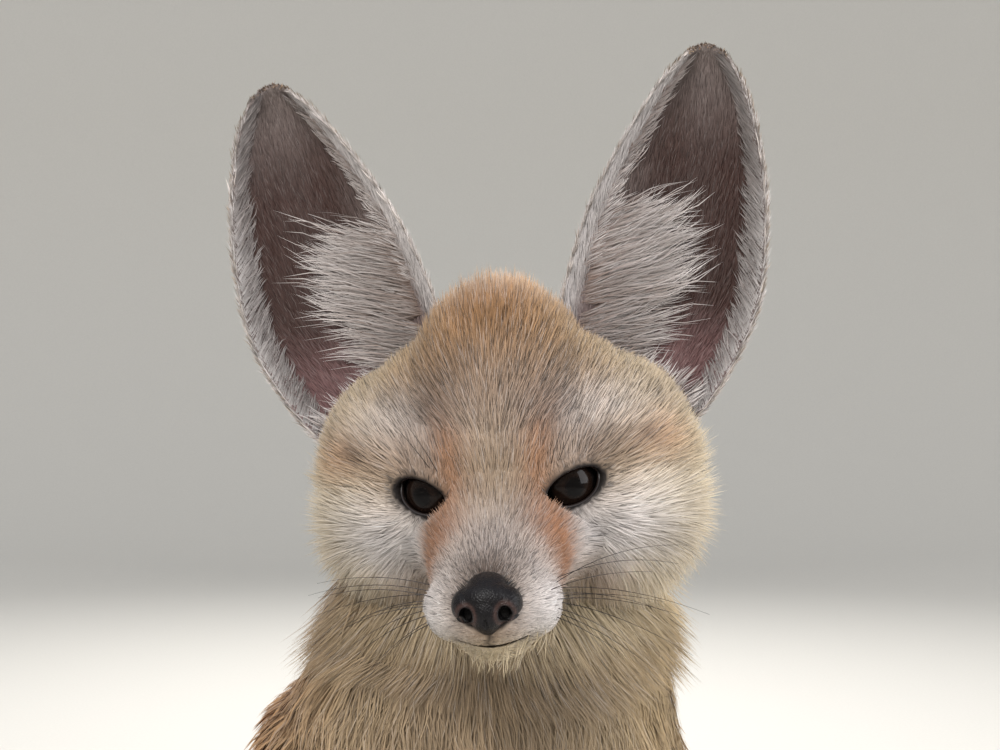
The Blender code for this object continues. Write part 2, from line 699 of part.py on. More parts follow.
def head_pieces():
    """The head with its sockets, lids and mouth, the jaw, nose, eyes and ears, and the head's surface."""
    whole = fused("head", head_masses() + neck_masses(), HEAD_VOXEL, 6, HEAD_FACES)
    tree = surface(whole)
    combined(whole, [slab("collar", COLLAR[0], COLLAR[1], 0.12, 0.12)], "DIFFERENCE")
    found = islands(whole)
    head = nearest(found, EYE_MIDDLE)
    head.name = "head"
    discard(found)
    combined(head, [lid_rim(side) for side in (1, -1)], "UNION")
    nose = nose_pad()
    cutters = [swollen(nose, GAP)]
    for side in (1, -1):
        cutters.append(ellipsoid("socket", HEAD @ eye_centre(side), (EYE_RADIUS + GAP,) * 3, segments=14))
        cutters.append(eye_slot(side, *EYE_OPENING))
    head = largest(combined(head, cutters, "DIFFERENCE"))
    jaw = bpy.data.objects.new("lower_jaw", head.data.copy())
    bpy.context.scene.collection.objects.link(jaw)
    jaw = largest(combined(jaw, [jaw_cutter(0.0)], "INTERSECT"))
    head = largest(combined(head, [jaw_cutter(GAP)], "DIFFERENCE"))
    named = {"head": head, "lower_jaw": jaw, "nose": nose}
    for side, name in ((1, "left"), (-1, "right")):
        named["eye_" + name] = ellipsoid("eye_" + name, HEAD @ eye_centre(side), (EYE_RADIUS,) * 3,
                                         segments=14)
        named["ear_" + name] = ear(side)
    return named, tree


def surface(thing):
    """A search tree over a mesh's faces."""
    graph = bpy.context.evaluated_depsgraph_get()
    return BVHTree.FromObject(thing, graph)


class Lock:
    """One flat, tapered lock of hair that rises off a surface and bends along its lie.

    Its section is a low triangle, widest and thickest a third of the way along, and it ends in a point.
    Each station holds how far along it lies, its rise off the surface, its half width and its thickness.
    """

    STATIONS = ((0.34, 0.70, 0.50, 0.20), (0.70, 1.0, 0.37, 0.14), (1.0, 0.95, 0.0, 0.0))
    ROOT_SPANS = (0.36, 0.14)
    # A thin wall, such as an ear's, takes a narrower root.
    WALL_ROOT_SPANS = (0.20, 0.09)

    def __init__(self, line, sides, overs, width, root=ROOT_SPANS):
        self.line, self.sides, self.overs = line, sides, overs
        shares = [root] + [station[2:] for station in self.STATIONS]
        self.spans = [(width * broad, width * thick) for broad, thick in shares]

    def lowest(self):
        """The height of the lock's lowest point."""
        return min(place.z - abs(side.z) * broad - thick
                   for place, side, (broad, thick) in zip(self.line, self.sides, self.spans))

    def form(self, grow=0.0):
        """The lock's closed mesh, its faces moved out by grow."""
        points = []
        stations = zip(self.line[:-1], self.sides, self.overs, self.spans)
        for k, (place, side, over, span) in enumerate(stations):
            if k == 0:
                place = place - (self.line[1] - place).normalized() * grow
            broad, thick = span[0] + grow * 2, span[1] + grow * 2
            points += [place + side * broad - over * thick * 0.5, place + over * thick * 0.7,
                       place - side * broad - over * thick * 0.5]
        points.append(self.line[-1] + (self.line[-1] - self.line[-2]).normalized() * grow * 3)
        tip = len(points) - 1
        faces = [(3 * r + s, 3 * r + (s + 1) % 3, 3 * r + 3 + (s + 1) % 3, 3 * r + 3 + s)
                 for r in range(2) for s in range(3)]
        faces += [(0, 1, 2)] + [(6 + s, 6 + (s + 1) % 3, tip) for s in range(3)]
        return mesh_object("lock", points, faces)


def lain(tree, root, lie, length, width, lift):
    """A lock that grows from the point of a surface nearest root and follows that surface along lie."""
    root, outward = tree.find_nearest(root)[:2]
    lie = (lie - outward * lie.dot(outward)).normalized()
    line = [root - outward * ROOT_DEPTH - lie * length * 0.04]
    sides = [lie.cross(outward).normalized()]
    overs = [outward]
    for share, rise in (station[:2] for station in Lock.STATIONS):
        ahead = root + lie * length * share
        near, normal = tree.find_nearest(ahead)[:2]
        # Past the end of a surface, such as a tail's, a lock runs straight on.
        if lie.dot(ahead - near) > 0.2 * length * share:
            near, normal = ahead, outward
        onward = (lie - normal * lie.dot(normal)).normalized()
        line.append(near + normal * lift * rise)
        sides.append(onward.cross(normal).normalized())
        overs.append(normal)
    return Lock(line, sides, overs, width)


def ear_place(u, v, side):
    """A point on the inner face of an ear, and that face's outward direction there."""
    step = 0.01
    here, up, out = (Vector(ear_surface(np.array(a), np.array(b), side))
                     for a, b in ((u, v), (u + step, v), (u, v + step)))
    outward = (up - here).cross(out - here).normalized()
    outward = outward if outward.y < 0 else -outward
    place = here + outward * EAR_THICKNESS / 2
    return EAR @ place, (EAR.to_3x3() @ outward).normalized()


def ruff_locks(tree, draw):
    """The locks of the neck and the chest, in rows that run down from the collar."""
    found = {"head": [], "neck": [], "chest": []}
    for row, drop in enumerate(RUFF_ROWS):
        on_chest = drop > 0.040
        count = RUFF_ROUND if not on_chest else RUFF_ROUND // 2 + 1
        for k in range(count):
            if on_chest:
                turn = math.radians(np.interp(k, [0, count - 1], [-74, 74]))
            else:
                turn = 2 * math.pi * (k + 0.5 * (row % 2)) / count
            turn += draw.uniform(-0.07, 0.07)
            y = -0.006 - 0.042 * math.cos(turn)
            z = COLLAR[0][2] + COLLAR_RISE * (y - COLLAR[0][1]) - drop + draw.uniform(-0.002, 0.002)
            axis = Vector((0.002, -0.006 + max(0.0, 0.19 - z) * 0.1, z))
            heading = Vector((math.sin(turn), -math.cos(turn), 0))
            hit = tree.ray_cast(axis, heading, 0.12)[0]
            if hit is None:
                continue
            lie = Vector((-heading.x * 0.18, 0.10 * abs(heading.x), -1.0))
            height = (hit - Vector(COLLAR[0])).dot(Vector(COLLAR[1]).normalized())
            lower = (hit - Vector(SHOULDERS[0])).dot(Vector(SHOULDERS[1]).normalized())
            if min(abs(height), abs(lower)) < 0.0035:
                continue
            name = "head" if height > 0 else "neck" if lower > 0 else "chest"
            depth = CHEST_COAT if name == "chest" else NECK_COAT
            length, width = draw.uniform(0.024, 0.030), draw.uniform(0.0160, 0.0195)
            found[name].append(lain(tree, hit, lie, length, width, depth * draw.uniform(0.72, 0.95)))
    return found


def cheek_locks(tree, draw):
    """The locks of both cheeks, which lie back and down from the face."""
    found = []
    for side in (1, -1):
        for back, count in CHEEK_ROWS:
            for k in range(count):
                turn = math.radians(np.interp(k, [0, count - 1], [-74, 4]) + draw.uniform(-4, 4))
                heading = mirrored((math.cos(turn), 0, math.sin(turn)), side)
                start = HEAD @ Vector((0.012 * side, back, -0.006))
                hit = tree.ray_cast(start, HEAD.to_3x3() @ heading, 0.12)[0]
                if hit is None:
                    continue
                lie = HEAD.to_3x3() @ mirrored((0.10, 0.70, -0.90), side)
                lift = CHEEK_COAT * draw.uniform(0.75, 0.95) * (0.35 - 0.65 * math.sin(turn))
                length, width = draw.uniform(0.021, 0.026), draw.uniform(0.0130, 0.0155)
                found.append(lain(tree, hit, lie, length, width, lift))
    return found


def tail_locks(tree, draw):
    """The locks of the tail's brush, which lie along it to the tip, each turned on from the one before."""
    line, radii = (along(values, TAIL_STEPS) for values in tail_core())
    found = {"tail_base": [], "tail_middle": [], "tail_tip": []}
    names = list(found)
    place = TAIL_CUTS[0] + 4.0
    turn = 0.0
    while place < TAIL_LAST_LOCK:
        step = round(place)
        place += TAIL_LOCK_STEP
        turn += GOLDEN_TURN
        if min(abs(step - cut) for cut in TAIL_CUTS) < 3:
            continue
        tangent = Vector(line[step + 1] - line[step - 1]).normalized()
        level = tangent.cross(Vector((0, 0, 1))).normalized()
        heading = level * math.cos(turn) + level.cross(tangent) * math.sin(turn)
        hit = tree.ray_cast(Vector(line[step]), heading, 0.05)[0]
        if hit is None:
            continue
        core = radii[step, 0]
        coat = core * (1 / TAIL_CORE - 1)
        name = names[sum(step > cut for cut in TAIL_CUTS) - 1]
        lock = lain(tree, hit, tangent, draw.uniform(0.030, 0.038),
                    core * draw.uniform(1.35, 1.6), coat * draw.uniform(0.8, 0.98))
        # The tail's underside lies flat on the floor.
        if lock.lowest() > 0.0:
            found[name].append(lock)
    return found


def ear_locks(side, draw):
    """The fringe inside an ear: long locks from its inner edge over the cup, short ones from the outer.

    Each row holds the first and last place up the ear, how many locks, where across the ear they
    root, and how far across and up it they reach.
    """
    found = []
    for first, last, count, v, across, rise in EAR_FRINGE:
        for u in np.linspace(first, last, count):
            reach = draw.uniform(0.85, 1.1)
            places = [ear_place(u + rise * share * reach, v + across * share * reach, side)
                      for share in (0.0, *(station[0] for station in Lock.STATIONS))]
            line = [places[0][0] - places[0][1] * EAR_ROOT_DEPTH]
            line += [place + over * EAR_COAT * station[1]
                     for (place, over), station in zip(places[1:], Lock.STATIONS)]
            overs = [over for _, over in places]
            sides = [(line[min(k + 1, 3)] - line[min(k, 2)]).cross(over).normalized()
                     for k, over in enumerate(overs)]
            found.append(Lock(line, sides, overs, draw.uniform(0.0075, 0.0090), Lock.WALL_ROOT_SPANS))
    return found


def dressed(named, trees):
    """Every piece with its locks fused on, and cut clear of the pieces before it and their locks."""
    body, head = trees
    draw = np.random.default_rng(7)
    locks = ruff_locks(body, draw)
    locks["head"] = locks["head"] + cheek_locks(head, draw)
    locks.update(tail_locks(body, draw))
    for side, name in ((1, "ear_left"), (-1, "ear_right")):
        locks[name] = ear_locks(side, draw)
    clear_of = {
        "neck": ["head"],
        "chest": ["head", "neck"],
        "torso": ["neck", "chest"],
        "ear_left": ["head"],
        "ear_right": ["head"],
        "foreleg_left": ["chest"],
        "foreleg_right": ["chest"],
        "thigh_left": ["chest"],
        "thigh_right": ["chest", "tail_base", "tail_middle"],
        "hips": ["tail_base"],
        "hindfoot_right": ["tail_base", "tail_middle", "tail_tip"],
        "tail_middle": ["tail_base"],
        "tail_tip": ["tail_middle"],
    }
    cores = {name: swollen(named[name], GAP) for name in {n for names in clear_of.values() for n in names}}
    for name, piece in named.items():
        if locks.get(name):
            named[name] = combined(piece, [lock.form() for lock in locks[name]], "UNION")
    for name, others in clear_of.items():
        cutters = []
        for other in others:
            copy = cores[other].copy()
            copy.data = cores[other].data.copy()
            bpy.context.scene.collection.objects.link(copy)
            cutters.append(copy)
            cutters += [lock.form(GAP) for lock in locks.get(other, [])]
        named[name] = combined(named[name], cutters, "DIFFERENCE")
    for name, piece in named.items():
        if locks.get(name) or name in clear_of:
            named[name] = largest(combined(piece, [floor()], "DIFFERENCE"))
    discard(cores.values())
    return named


def foot_pieces():
    """The four feet."""
    named = {}
    for side, name in ((1, "left"), (-1, "right")):
        named["forepaw_" + name] = paw("forepaw_" + name, (0.0235 * side, -0.046, 0),
                                       math.radians(4) * side, 0.034, 0.0125, 0.022, WRIST_HEIGHT)
        named["hindfoot_" + name] = hind_foot(side, "hindfoot_" + name)
    return named


def hind_foot(side, name):
    """A long hind foot, heel to toes on the floor."""
    front = paw(name, (0.054 * side, 0.030, 0), math.radians(5) * side, 0.036, 0.0125, 0.020,
                HEEL_HEIGHT)
    heel = loft("heel", [(0.0465 * side, 0.128, 0.0120), (0.0475 * side, 0.110, 0.0130),
                         (0.050 * side, 0.080, 0.0130), (0.053 * side, 0.045, 0.0115),
                         (0.0535 * side, 0.035, 0.0105)],
                [(0.0080, 0.0095), (0.0110, 0.0125), (0.0110, 0.0125), (0.0115, 0.0110), (0.0105, 0.0095)],
                rings=7, sides=10)
    combined(front, [heel], "UNION")
    trims = [floor(), box("above", (-0.5, -0.5, HEEL_HEIGHT - GAP / 2), (0.5, 0.5, 0.1))]
    return largest(combined(front, trims, "DIFFERENCE"))


def painted(name, colour, roughness):
    """A plain finish."""
    finish = bpy.data.materials.new(name)
    finish.use_nodes = True
    shader = finish.node_tree.nodes["Principled BSDF"]
    shader.inputs["Base Color"].default_value = (*colour, 1)
    shader.inputs["Roughness"].default_value = roughness
    shader.inputs["Metallic"].default_value = 0.0
    return finish


def main():
    """Builds every piece, gives it its finish and puts the origin under the fox's middle."""
    for old in list(bpy.data.objects):
        bpy.data.objects.remove(old)
    body, body_tree = body_pieces()
    head, head_tree = head_pieces()
    named = dressed({**body, **head, **foot_pieces()}, (body_tree, head_tree))
    coat = painted("sandy coat", (0.62, 0.46, 0.30), 0.85)
    pale = painted("pale coat", (0.80, 0.72, 0.58), 0.85)
    dark = painted("dark tail tip", (0.10, 0.07, 0.05), 0.85)
    bare = painted("bare nose", (0.03, 0.025, 0.025), 0.35)
    glass = painted("dark eye", (0.02, 0.012, 0.008), 0.08)
    finishes = {"nose": bare, "eye_left": glass, "eye_right": glass, "tail_tip": dark,
                "lower_jaw": pale, "neck": pale, "chest": pale}
    points = []
    for piece in named.values():
        piece.data.materials.clear()
        points += [v.co for v in piece.data.vertices]
    low = Vector([min(p[k] for p in points) for k in range(3)])
    high = Vector([max(p[k] for p in points) for k in range(3)])
    shift = Vector((-(low.x + high.x) / 2, -(low.y + high.y) / 2, 0.0))
    fox = bpy.data.collections.new("fennec_fox")
    bpy.context.scene.collection.children.link(fox)
    for name, piece in named.items():
        piece.name = name
        piece.data.name = name
        piece.data.transform(Matrix.Translation(shift))
        piece.data.materials.append(finishes.get(name, coat))
        bpy.context.scene.collection.objects.unlink(piece)
        fox.objects.link(piece)
        print(name, len(piece.data.polygons))


main()
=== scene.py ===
"""A life-size fennec fox, sitting upright with its head turned to its right, dressed in its coat.

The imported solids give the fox's place and outline. One skin is fused here from the same masses, a
coat's depth inside them, and thin curved tufts of hair grow from it along the lie of the coat.
"""

from __future__ import annotations

import logging
import math
from dataclasses import dataclass, field
from enum import Enum
from typing import Callable, Iterable, Sequence

import bmesh
import bpy
import numpy as np
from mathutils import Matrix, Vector
from mathutils.bvhtree import BVHTree
from mathutils.kdtree import KDTree

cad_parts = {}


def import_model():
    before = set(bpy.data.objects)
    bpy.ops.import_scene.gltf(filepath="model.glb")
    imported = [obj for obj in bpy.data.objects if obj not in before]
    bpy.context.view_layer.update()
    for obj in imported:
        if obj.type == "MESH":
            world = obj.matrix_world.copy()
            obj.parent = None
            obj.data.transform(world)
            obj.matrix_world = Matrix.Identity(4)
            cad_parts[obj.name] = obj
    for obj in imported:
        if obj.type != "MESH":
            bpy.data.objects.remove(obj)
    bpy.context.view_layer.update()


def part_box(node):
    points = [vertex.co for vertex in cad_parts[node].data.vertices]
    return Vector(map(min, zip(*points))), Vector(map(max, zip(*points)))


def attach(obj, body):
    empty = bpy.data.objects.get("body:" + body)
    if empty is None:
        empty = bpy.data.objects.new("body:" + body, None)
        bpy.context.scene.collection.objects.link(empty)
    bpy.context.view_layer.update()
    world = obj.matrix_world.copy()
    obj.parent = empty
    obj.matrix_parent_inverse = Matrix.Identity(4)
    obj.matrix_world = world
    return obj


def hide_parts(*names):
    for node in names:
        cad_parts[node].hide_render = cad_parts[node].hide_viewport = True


LOG = logging.getLogger("fennec_fox")

Array = np.ndarray
Surface = tuple[Array, Array]
Setting = float | Callable[[Array], Array]

# The head's turn to the fox's right, its nod and its lean, and the point midway between the eyes.
HEAD_TURN = math.radians(-23.5)
HEAD_NOD = math.radians(11.0)
HEAD_LEAN = math.radians(-4.2)
EYE_MIDDLE = np.array((-0.011, -0.050, 0.243))
EYE_APART = 0.0187
EYE_RADIUS = 0.0088
EYE_LOOK = np.array((0.42, -0.90, 0.10)) / np.linalg.norm((0.42, -0.90, 0.10))
EYE_CENTRE = np.array((EYE_APART, 0, 0)) - EYE_LOOK * EYE_RADIUS
EYE_OPENING = (0.0078, 0.0041)
EYE_SLANT = math.radians(15.0)
LID_THICKNESS = 0.0013

# The tail's middle line round the right hind foot, and how thick its brush is along it.
TAIL_LINE = ((0.010, 0.118, 0.0420), (-0.012, 0.148, 0.0320), (-0.044, 0.168, 0.0240),
             (-0.079, 0.163, 0.0230), (-0.101, 0.136, 0.0243), (-0.110, 0.098, 0.0246),
             (-0.109, 0.056, 0.0226), (-0.103, 0.018, 0.0176), (-0.096, -0.010, 0.0102),
             (-0.092, -0.022, 0.0066))
TAIL_BRUSH = (0.016, 0.0170, 0.0210, 0.0245, 0.0262, 0.0265, 0.0245, 0.0195, 0.0130, 0.0070)
TAIL_STATIONS = 120
TAIL_FLESH_REACH = 0.0165

# Where the foreleg and the hind foot give way to the paw, how deep the neck lies in its ruff, how far down
# and back the ruff reaches, and the collar between head and neck.
WRIST_HEIGHT = 0.026
HEEL_HEIGHT = 0.024
NECK_COAT = 0.0095 + 0.0010
RUFF_LOW = 0.085
RUFF_REAR = 0.045
COLLAR_PLACE = np.array((0.0, -0.012, 0.212))
COLLAR_WAY = np.array((0.0, -0.42, 0.91))


class Side(Enum):
    """The fox's two sides, by the sign of x."""

    LEFT = 1
    RIGHT = -1

    @property
    def word(self) -> str:
        """The side's name in lower case."""
        return self.name.lower()


def unit(vectors: Array) -> Array:
    """Each vector divided by its length."""
    return vectors / np.maximum(np.linalg.norm(vectors, axis=-1, keepdims=True), 1e-12)


def ramp(values: Array, low: float, high: float) -> Array:
    """0 below low, 1 above high, and the curve 3t^2 - 2t^3 between them."""
    t = np.clip((values - low) / (high - low), 0.0, 1.0)
    return t * t * (3 - 2 * t)


def blob(points: Array, centre: Sequence[float], radii: Sequence[float]) -> Array:
    """A soft ellipsoid, exp(-d^2 / 2), with d the distance from centre in units of radii."""
    apart = (points - np.asarray(centre)) / np.asarray(radii)
    return np.exp(-0.5 * np.sum(apart ** 2, axis=-1))


def stroke(points: Array, start: Sequence[float], end: Sequence[float], width: float) -> Array:
    """A soft line from start to end, exp(-d^2 / 2), with d the distance from it in units of width.

    Args:
        points: where it is asked for.
        start: one end.
        end: the other end.
        width: its unit of distance.

    Returns:
        The share at each point, 0 to 1.
    """
    start, end = np.asarray(start), np.asarray(end)
    way = end - start
    share = np.clip((points - start) @ way / (way @ way), 0.0, 1.0)
    apart = points - start - share[:, None] * way
    return np.exp(-0.5 * np.sum(apart ** 2, axis=-1) / width ** 2)


def folded(places: Array) -> Array:
    """Places with both sides laid on the left one, by the size of x."""
    return np.column_stack([np.abs(places[:, 0]), places[:, 1:]])


def at(setting: Setting, places: Array) -> Array | float:
    """A setting that is a number or a function of place, at the places."""
    return setting(places) if callable(setting) else setting


def nearest(places: Array, points: Array) -> tuple[Array, Array]:
    """The number of the place nearest to each point, and how far off it is.

    Args:
        places: the places to choose from.
        points: the points.

    Returns:
        The numbers and the distances.
    """
    tree = KDTree(len(places))
    for k, place in enumerate(places):
        tree.insert(place, k)
    tree.balance()
    index, apart = (np.array(column) for column in zip(*(tree.find(point)[1:] for point in points)))
    return index, apart


def along(values: Sequence, count: int) -> Array:
    """Count values on a smooth curve through the given ones.

    Each span is the Catmull-Rom cubic through its two ends, with the slope at an end taken from the
    values on both sides of it.

    Args:
        values: the numbers or points that the curve passes through.
        count: how many to return.

    Returns:
        The values, one row each.
    """
    given = np.asarray(values, float)
    if given.ndim == 1:
        given = given[:, None]
    padded = np.vstack([2 * given[0] - given[1], given, 2 * given[-1] - given[-2]])
    place = np.linspace(0, len(given) - 1, count)
    first = np.minimum(place.astype(int), len(given) - 2)
    t = (place - first)[:, None]
    before, start, end, after = (padded[first + k] for k in range(4))
    return 0.5 * (2 * start + (end - before) * t + (2 * before - 5 * start + 4 * end - after) * t ** 2
                  + (3 * start - before - 3 * end + after) * t ** 3)


def turning(axis: int, angle: float) -> Array:
    """The 3 x 3 rotation by angle about one axis, 0 for X, 1 for Y and 2 for Z.

    Args:
        axis: the axis's number.
        angle: the angle in radians.

    Returns:
        The matrix.
    """
    matrix = np.eye(3)
    a, b = (axis + 1) % 3, (axis + 2) % 3
    matrix[a, a] = matrix[b, b] = math.cos(angle)
    matrix[b, a] = math.sin(angle)
    matrix[a, b] = -math.sin(angle)
    return matrix


def paint(red: int, green: int, blue: int) -> Array:
    """A colour given as on a screen, 0 to 255, as linear light."""
    shares = np.array((red, green, blue)) / 255
    return np.where(shares <= 0.04045, shares / 12.92, ((shares + 0.055) / 1.055) ** 2.4)


def over(base: Array, colour: Array, share: Array) -> Array:
    """Base with colour laid over it by share."""
    return base + (colour - base) * share[:, None]


def spotted(base: Array, places: Array, spots: Iterable) -> Array:
    """Base with soft ellipsoids laid over it in turn, each a colour, a centre, radii and a share."""
    for colour, centre, radii, share in spots:
        base = over(base, colour, blob(places, centre, radii) * share)
    return base


def striped(base: Array, places: Array, stripes: Iterable) -> Array:
    """Base with soft lines laid over it in turn, each a colour, a start, an end, a width and a share."""
    for colour, start, end, width, share in stripes:
        base = over(base, colour, stroke(places, start, end, width) * share)
    return base


@dataclass(frozen=True)
class Placing:
    """Where the fox's own axes lie in the frame, and the head's axes in the fox's."""

    shift: Array
    head: Array = field(default_factory=lambda: turning(2, HEAD_TURN) @ turning(0, HEAD_NOD)
                        @ turning(1, HEAD_LEAN))
    ear: Array = field(default_factory=lambda: turning(2, HEAD_TURN) @ turning(0, HEAD_NOD)
                       @ turning(1, HEAD_LEAN) @ turning(0, -HEAD_NOD))

    @classmethod
    def from_frame(cls) -> Placing:
        """Reads the shift from where the frame has the two eyes."""
        middle = np.mean([np.mean(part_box("eye_" + side.word), axis=0) for side in Side], axis=0)
        return cls(middle - cls(np.zeros(3)).spot(-EYE_LOOK * EYE_RADIUS * (0, 1, 1)))

    def from_head(self, points: Array) -> Array:
        """Points in the head's axes, in the frame's."""
        return points @ self.head.T + EYE_MIDDLE + self.shift

    def spot(self, place: Sequence[float]) -> Array:
        """One place in the head's axes, in the frame's."""
        return self.from_head(np.array([place], float))[0]

    def from_ear(self, points: Array) -> Array:
        """Points in the ears' upright axes, in the frame's."""
        return points @ self.ear.T + EYE_MIDDLE + self.shift

    def to_head(self, points: Array) -> Array:
        """Points in the frame's axes, in the head's."""
        return (points - self.shift - EYE_MIDDLE) @ self.head

    def to_fox(self, points: Array) -> Array:
        """Points in the frame's axes, in the fox's."""
        return points - self.shift

    def eye(self, side: Side) -> tuple[Array, Array]:
        """An eyeball's centre, and its axes as columns: along the slit, across it, and out.

        Args:
            side: which eye.

        Returns:
            Both in the frame.
        """
        look = EYE_LOOK * (side.value, 1, 1)
        level = unit(np.cross((0, 0, 1), look))
        up = np.cross(look, level)
        slit = unit(level * math.cos(EYE_SLANT) + up * math.sin(EYE_SLANT) * side.value)
        centre = EYE_CENTRE * (side.value, 1, 1)
        axes = np.stack([slit, np.cross(look, slit), look], axis=1)
        return self.spot(centre), self.head @ axes


def grid_faces(rows: int, columns: int, closed: bool = True) -> Array:
    """The quads of a grid of points, closed round its columns or open.

    Args:
        rows: how many rows.
        columns: points in a row.
        closed: whether the last column joins the first.

    Returns:
        Four point numbers for each quad.
    """
    last = columns if closed else columns - 1
    r, c = np.meshgrid(np.arange(rows - 1), np.arange(last), indexing="ij")
    after = (c + 1) % columns
    quads = [r * columns + c, r * columns + after, (r + 1) * columns + after, (r + 1) * columns + c]
    return np.stack(quads, axis=-1).reshape(-1, 4)


def ring_angles(count: int) -> Array:
    """Count angles evenly round a circle."""
    return np.arange(count) * 2 * math.pi / count


def ball(centre: Sequence[float], radii: Sequence[float] | Array, axes: Array = np.eye(3), rows: int = 18,
         columns: int = 28) -> Surface:
    """An ellipsoid: radii times (sin u cos v, sin u sin v, cos u), u from pole to pole and v round.

    Args:
        centre: its middle.
        radii: its half sizes along the axes, or one for each row.
        axes: the directions of its half sizes, as columns.
        rows: rings of points from pole to pole.
        columns: points in a ring.

    Returns:
        Its points and quads.
    """
    u, v = np.meshgrid(np.linspace(0, math.pi, rows), ring_angles(columns), indexing="ij")
    local = np.stack([np.sin(u) * np.cos(v), np.sin(u) * np.sin(v), np.cos(u)], axis=-1) * np.asarray(radii)
    points = local.reshape(-1, 3) @ np.asarray(axes).T + np.asarray(centre)
    return points, grid_faces(rows, columns)


def sleeve(centres: Sequence, spans: Sequence, across: Sequence[float] = (1, 0, 0), rings: int = 24,
           sides: int = 24) -> Surface:
    """An elliptical section carried along a curve, drawn in to its middle line at both ends.

    A point is line(u) + side * w(u) cos v + over * h(u) sin v, with side the part of across that is
    square to the line, and over square to both.

    Args:
        centres: points that the middle line passes through.
        spans: half sizes of the section there, a pair or one number each.
        across: the direction of the first half size.
        rings: sections along the line.
        sides: points in a section.

    Returns:
        Its points and quads.
    """
    line = along(centres, rings)
    size = along(spans, rings)
    size = np.maximum(np.repeat(size, 3 - size.shape[1], axis=1), 0.0003)
    tangent = unit(np.gradient(line, axis=0))
    wide = np.asarray(across, float)
    side = unit(wide - tangent * (tangent @ wide)[:, None])
    over_ = np.cross(tangent, side)
    line = np.vstack([line[:1], line, line[-1:]])
    size = np.vstack([size[:1] * 0, size, size[-1:] * 0])
    side, over_ = (np.vstack([a[:1], a, a[-1:]]) for a in (side, over_))
    v = ring_angles(sides)
    points = (line[:, None] + side[:, None] * (size[:, 0:1] * np.cos(v))[..., None]
              + over_[:, None] * (size[:, 1:2] * np.sin(v))[..., None])
    return points.reshape(-1, 3), grid_faces(rings + 2, sides)


def strands(paths: Array, radii: Array, sides: int) -> Surface:
    """Many tapered tubes at once: a round section of the given radius at each point of each path.

    Args:
        paths: (count, stations, 3) points.
        radii: (count, stations) radii.
        sides: points in a section.

    Returns:
        Their points and quads, drawn in to the path at both ends.
    """
    paths = np.concatenate([paths[:, :1], paths, paths[:, -1:]], axis=1)
    radii = np.pad(radii, ((0, 0), (1, 1)))
    count, stations = radii.shape
    tangent = unit(np.gradient(paths, axis=1))
    helper = np.where(np.abs(tangent[:, 1:2, 2:]) > 0.8, np.array((1.0, 0, 0)), np.array((0, 0, 1.0)))
    side = unit(np.cross(tangent, helper))
    up = np.cross(side, tangent)
    v = ring_angles(sides)
    rings = (paths[:, :, None] + side[:, :, None] * (radii[..., None] * np.cos(v))[..., None]
             + up[:, :, None] * (radii[..., None] * np.sin(v))[..., None])
    one = grid_faces(stations, sides)
    faces = (np.arange(count)[:, None, None] * stations * sides + one).reshape(-1, 4)
    return rings.reshape(-1, 3), faces


def hoop(loop: Array, radius: float, sides: int) -> Surface:
    """A tube of one radius round a closed line of points: line + r (side cos v + up sin v).

    Args:
        loop: the line's points.
        radius: the tube's radius.
        sides: points in a section.

    Returns:
        Its points and quads.
    """
    tangent = unit(np.roll(loop, -1, axis=0) - np.roll(loop, 1, axis=0))
    outward = loop - loop.mean(axis=0)
    side = unit(outward - tangent * np.sum(outward * tangent, axis=1, keepdims=True))
    up = np.cross(tangent, side)
    v = ring_angles(sides)
    rings = loop[:, None] + radius * (side[:, None] * np.cos(v)[:, None] + up[:, None] * np.sin(v)[:, None])
    return rings.reshape(-1, 3), grid_faces(len(loop) + 1, sides) % (len(loop) * sides)


def together(surfaces: Iterable[Surface]) -> Surface:
    """Several surfaces as one set of points and faces.

    Args:
        surfaces: the surfaces, with faces of one size.

    Returns:
        The one surface.
    """
    points, faces, start = [], [], 0
    for some, quads in surfaces:
        points.append(some)
        faces.append(quads + start)
        start += len(some)
    return np.vstack(points), np.vstack(faces)


def linked(name: str, mesh: bpy.types.Mesh) -> bpy.types.Object:
    """A new object in the scene for a mesh."""
    piece = bpy.data.objects.new(name, mesh)
    bpy.context.scene.collection.objects.link(piece)
    return piece


def raw_mesh(name: str, surface: Surface) -> bpy.types.Mesh:
    """A mesh from points and faces of one size, smooth all over.

    Args:
        name: the mesh's name.
        surface: its points and faces.

    Returns:
        The mesh.
    """
    points, faces = surface
    mesh = bpy.data.meshes.new(name)
    size = faces.shape[1]
    mesh.vertices.add(len(points))
    mesh.vertices.foreach_set("co", np.ascontiguousarray(points, np.float32).ravel())
    mesh.loops.add(faces.size)
    mesh.loops.foreach_set("vertex_index", np.ascontiguousarray(faces, np.int32).ravel())
    mesh.polygons.add(len(faces))
    mesh.polygons.foreach_set("loop_start", np.arange(len(faces), dtype=np.int32) * size)
    smoothed(mesh).update(calc_edges=True)
    return mesh


def smoothed(mesh: bpy.types.Mesh) -> bpy.types.Mesh:
    """A mesh with every face smooth."""
    mesh.polygons.foreach_set("use_smooth", np.ones(len(mesh.polygons), bool))
    return mesh


def vectors_of(mesh: bpy.types.Mesh, name: str = "co") -> Array:
    """The places of a mesh's points, or what else they hold by that name."""
    flat = np.empty(len(mesh.vertices) * 3, np.float32)
    mesh.vertices.foreach_get(name, flat)
    return flat.reshape(-1, 3).astype(float)


def closed_mesh(name: str, surface: Surface) -> bpy.types.Object:
    """An object of a closed surface, its poles welded and its faces turned outwards.

    Args:
        name: the object's name.
        surface: its points and faces.

    Returns:
        The object.
    """
    mesh = raw_mesh(name, surface)
    form = bmesh.new()
    form.from_mesh(mesh)
    bmesh.ops.remove_doubles(form, verts=form.verts, dist=1e-6)
    bmesh.ops.recalc_face_normals(form, faces=form.faces)
    form.to_mesh(mesh)
    form.free()
    return linked(name, smoothed(mesh))


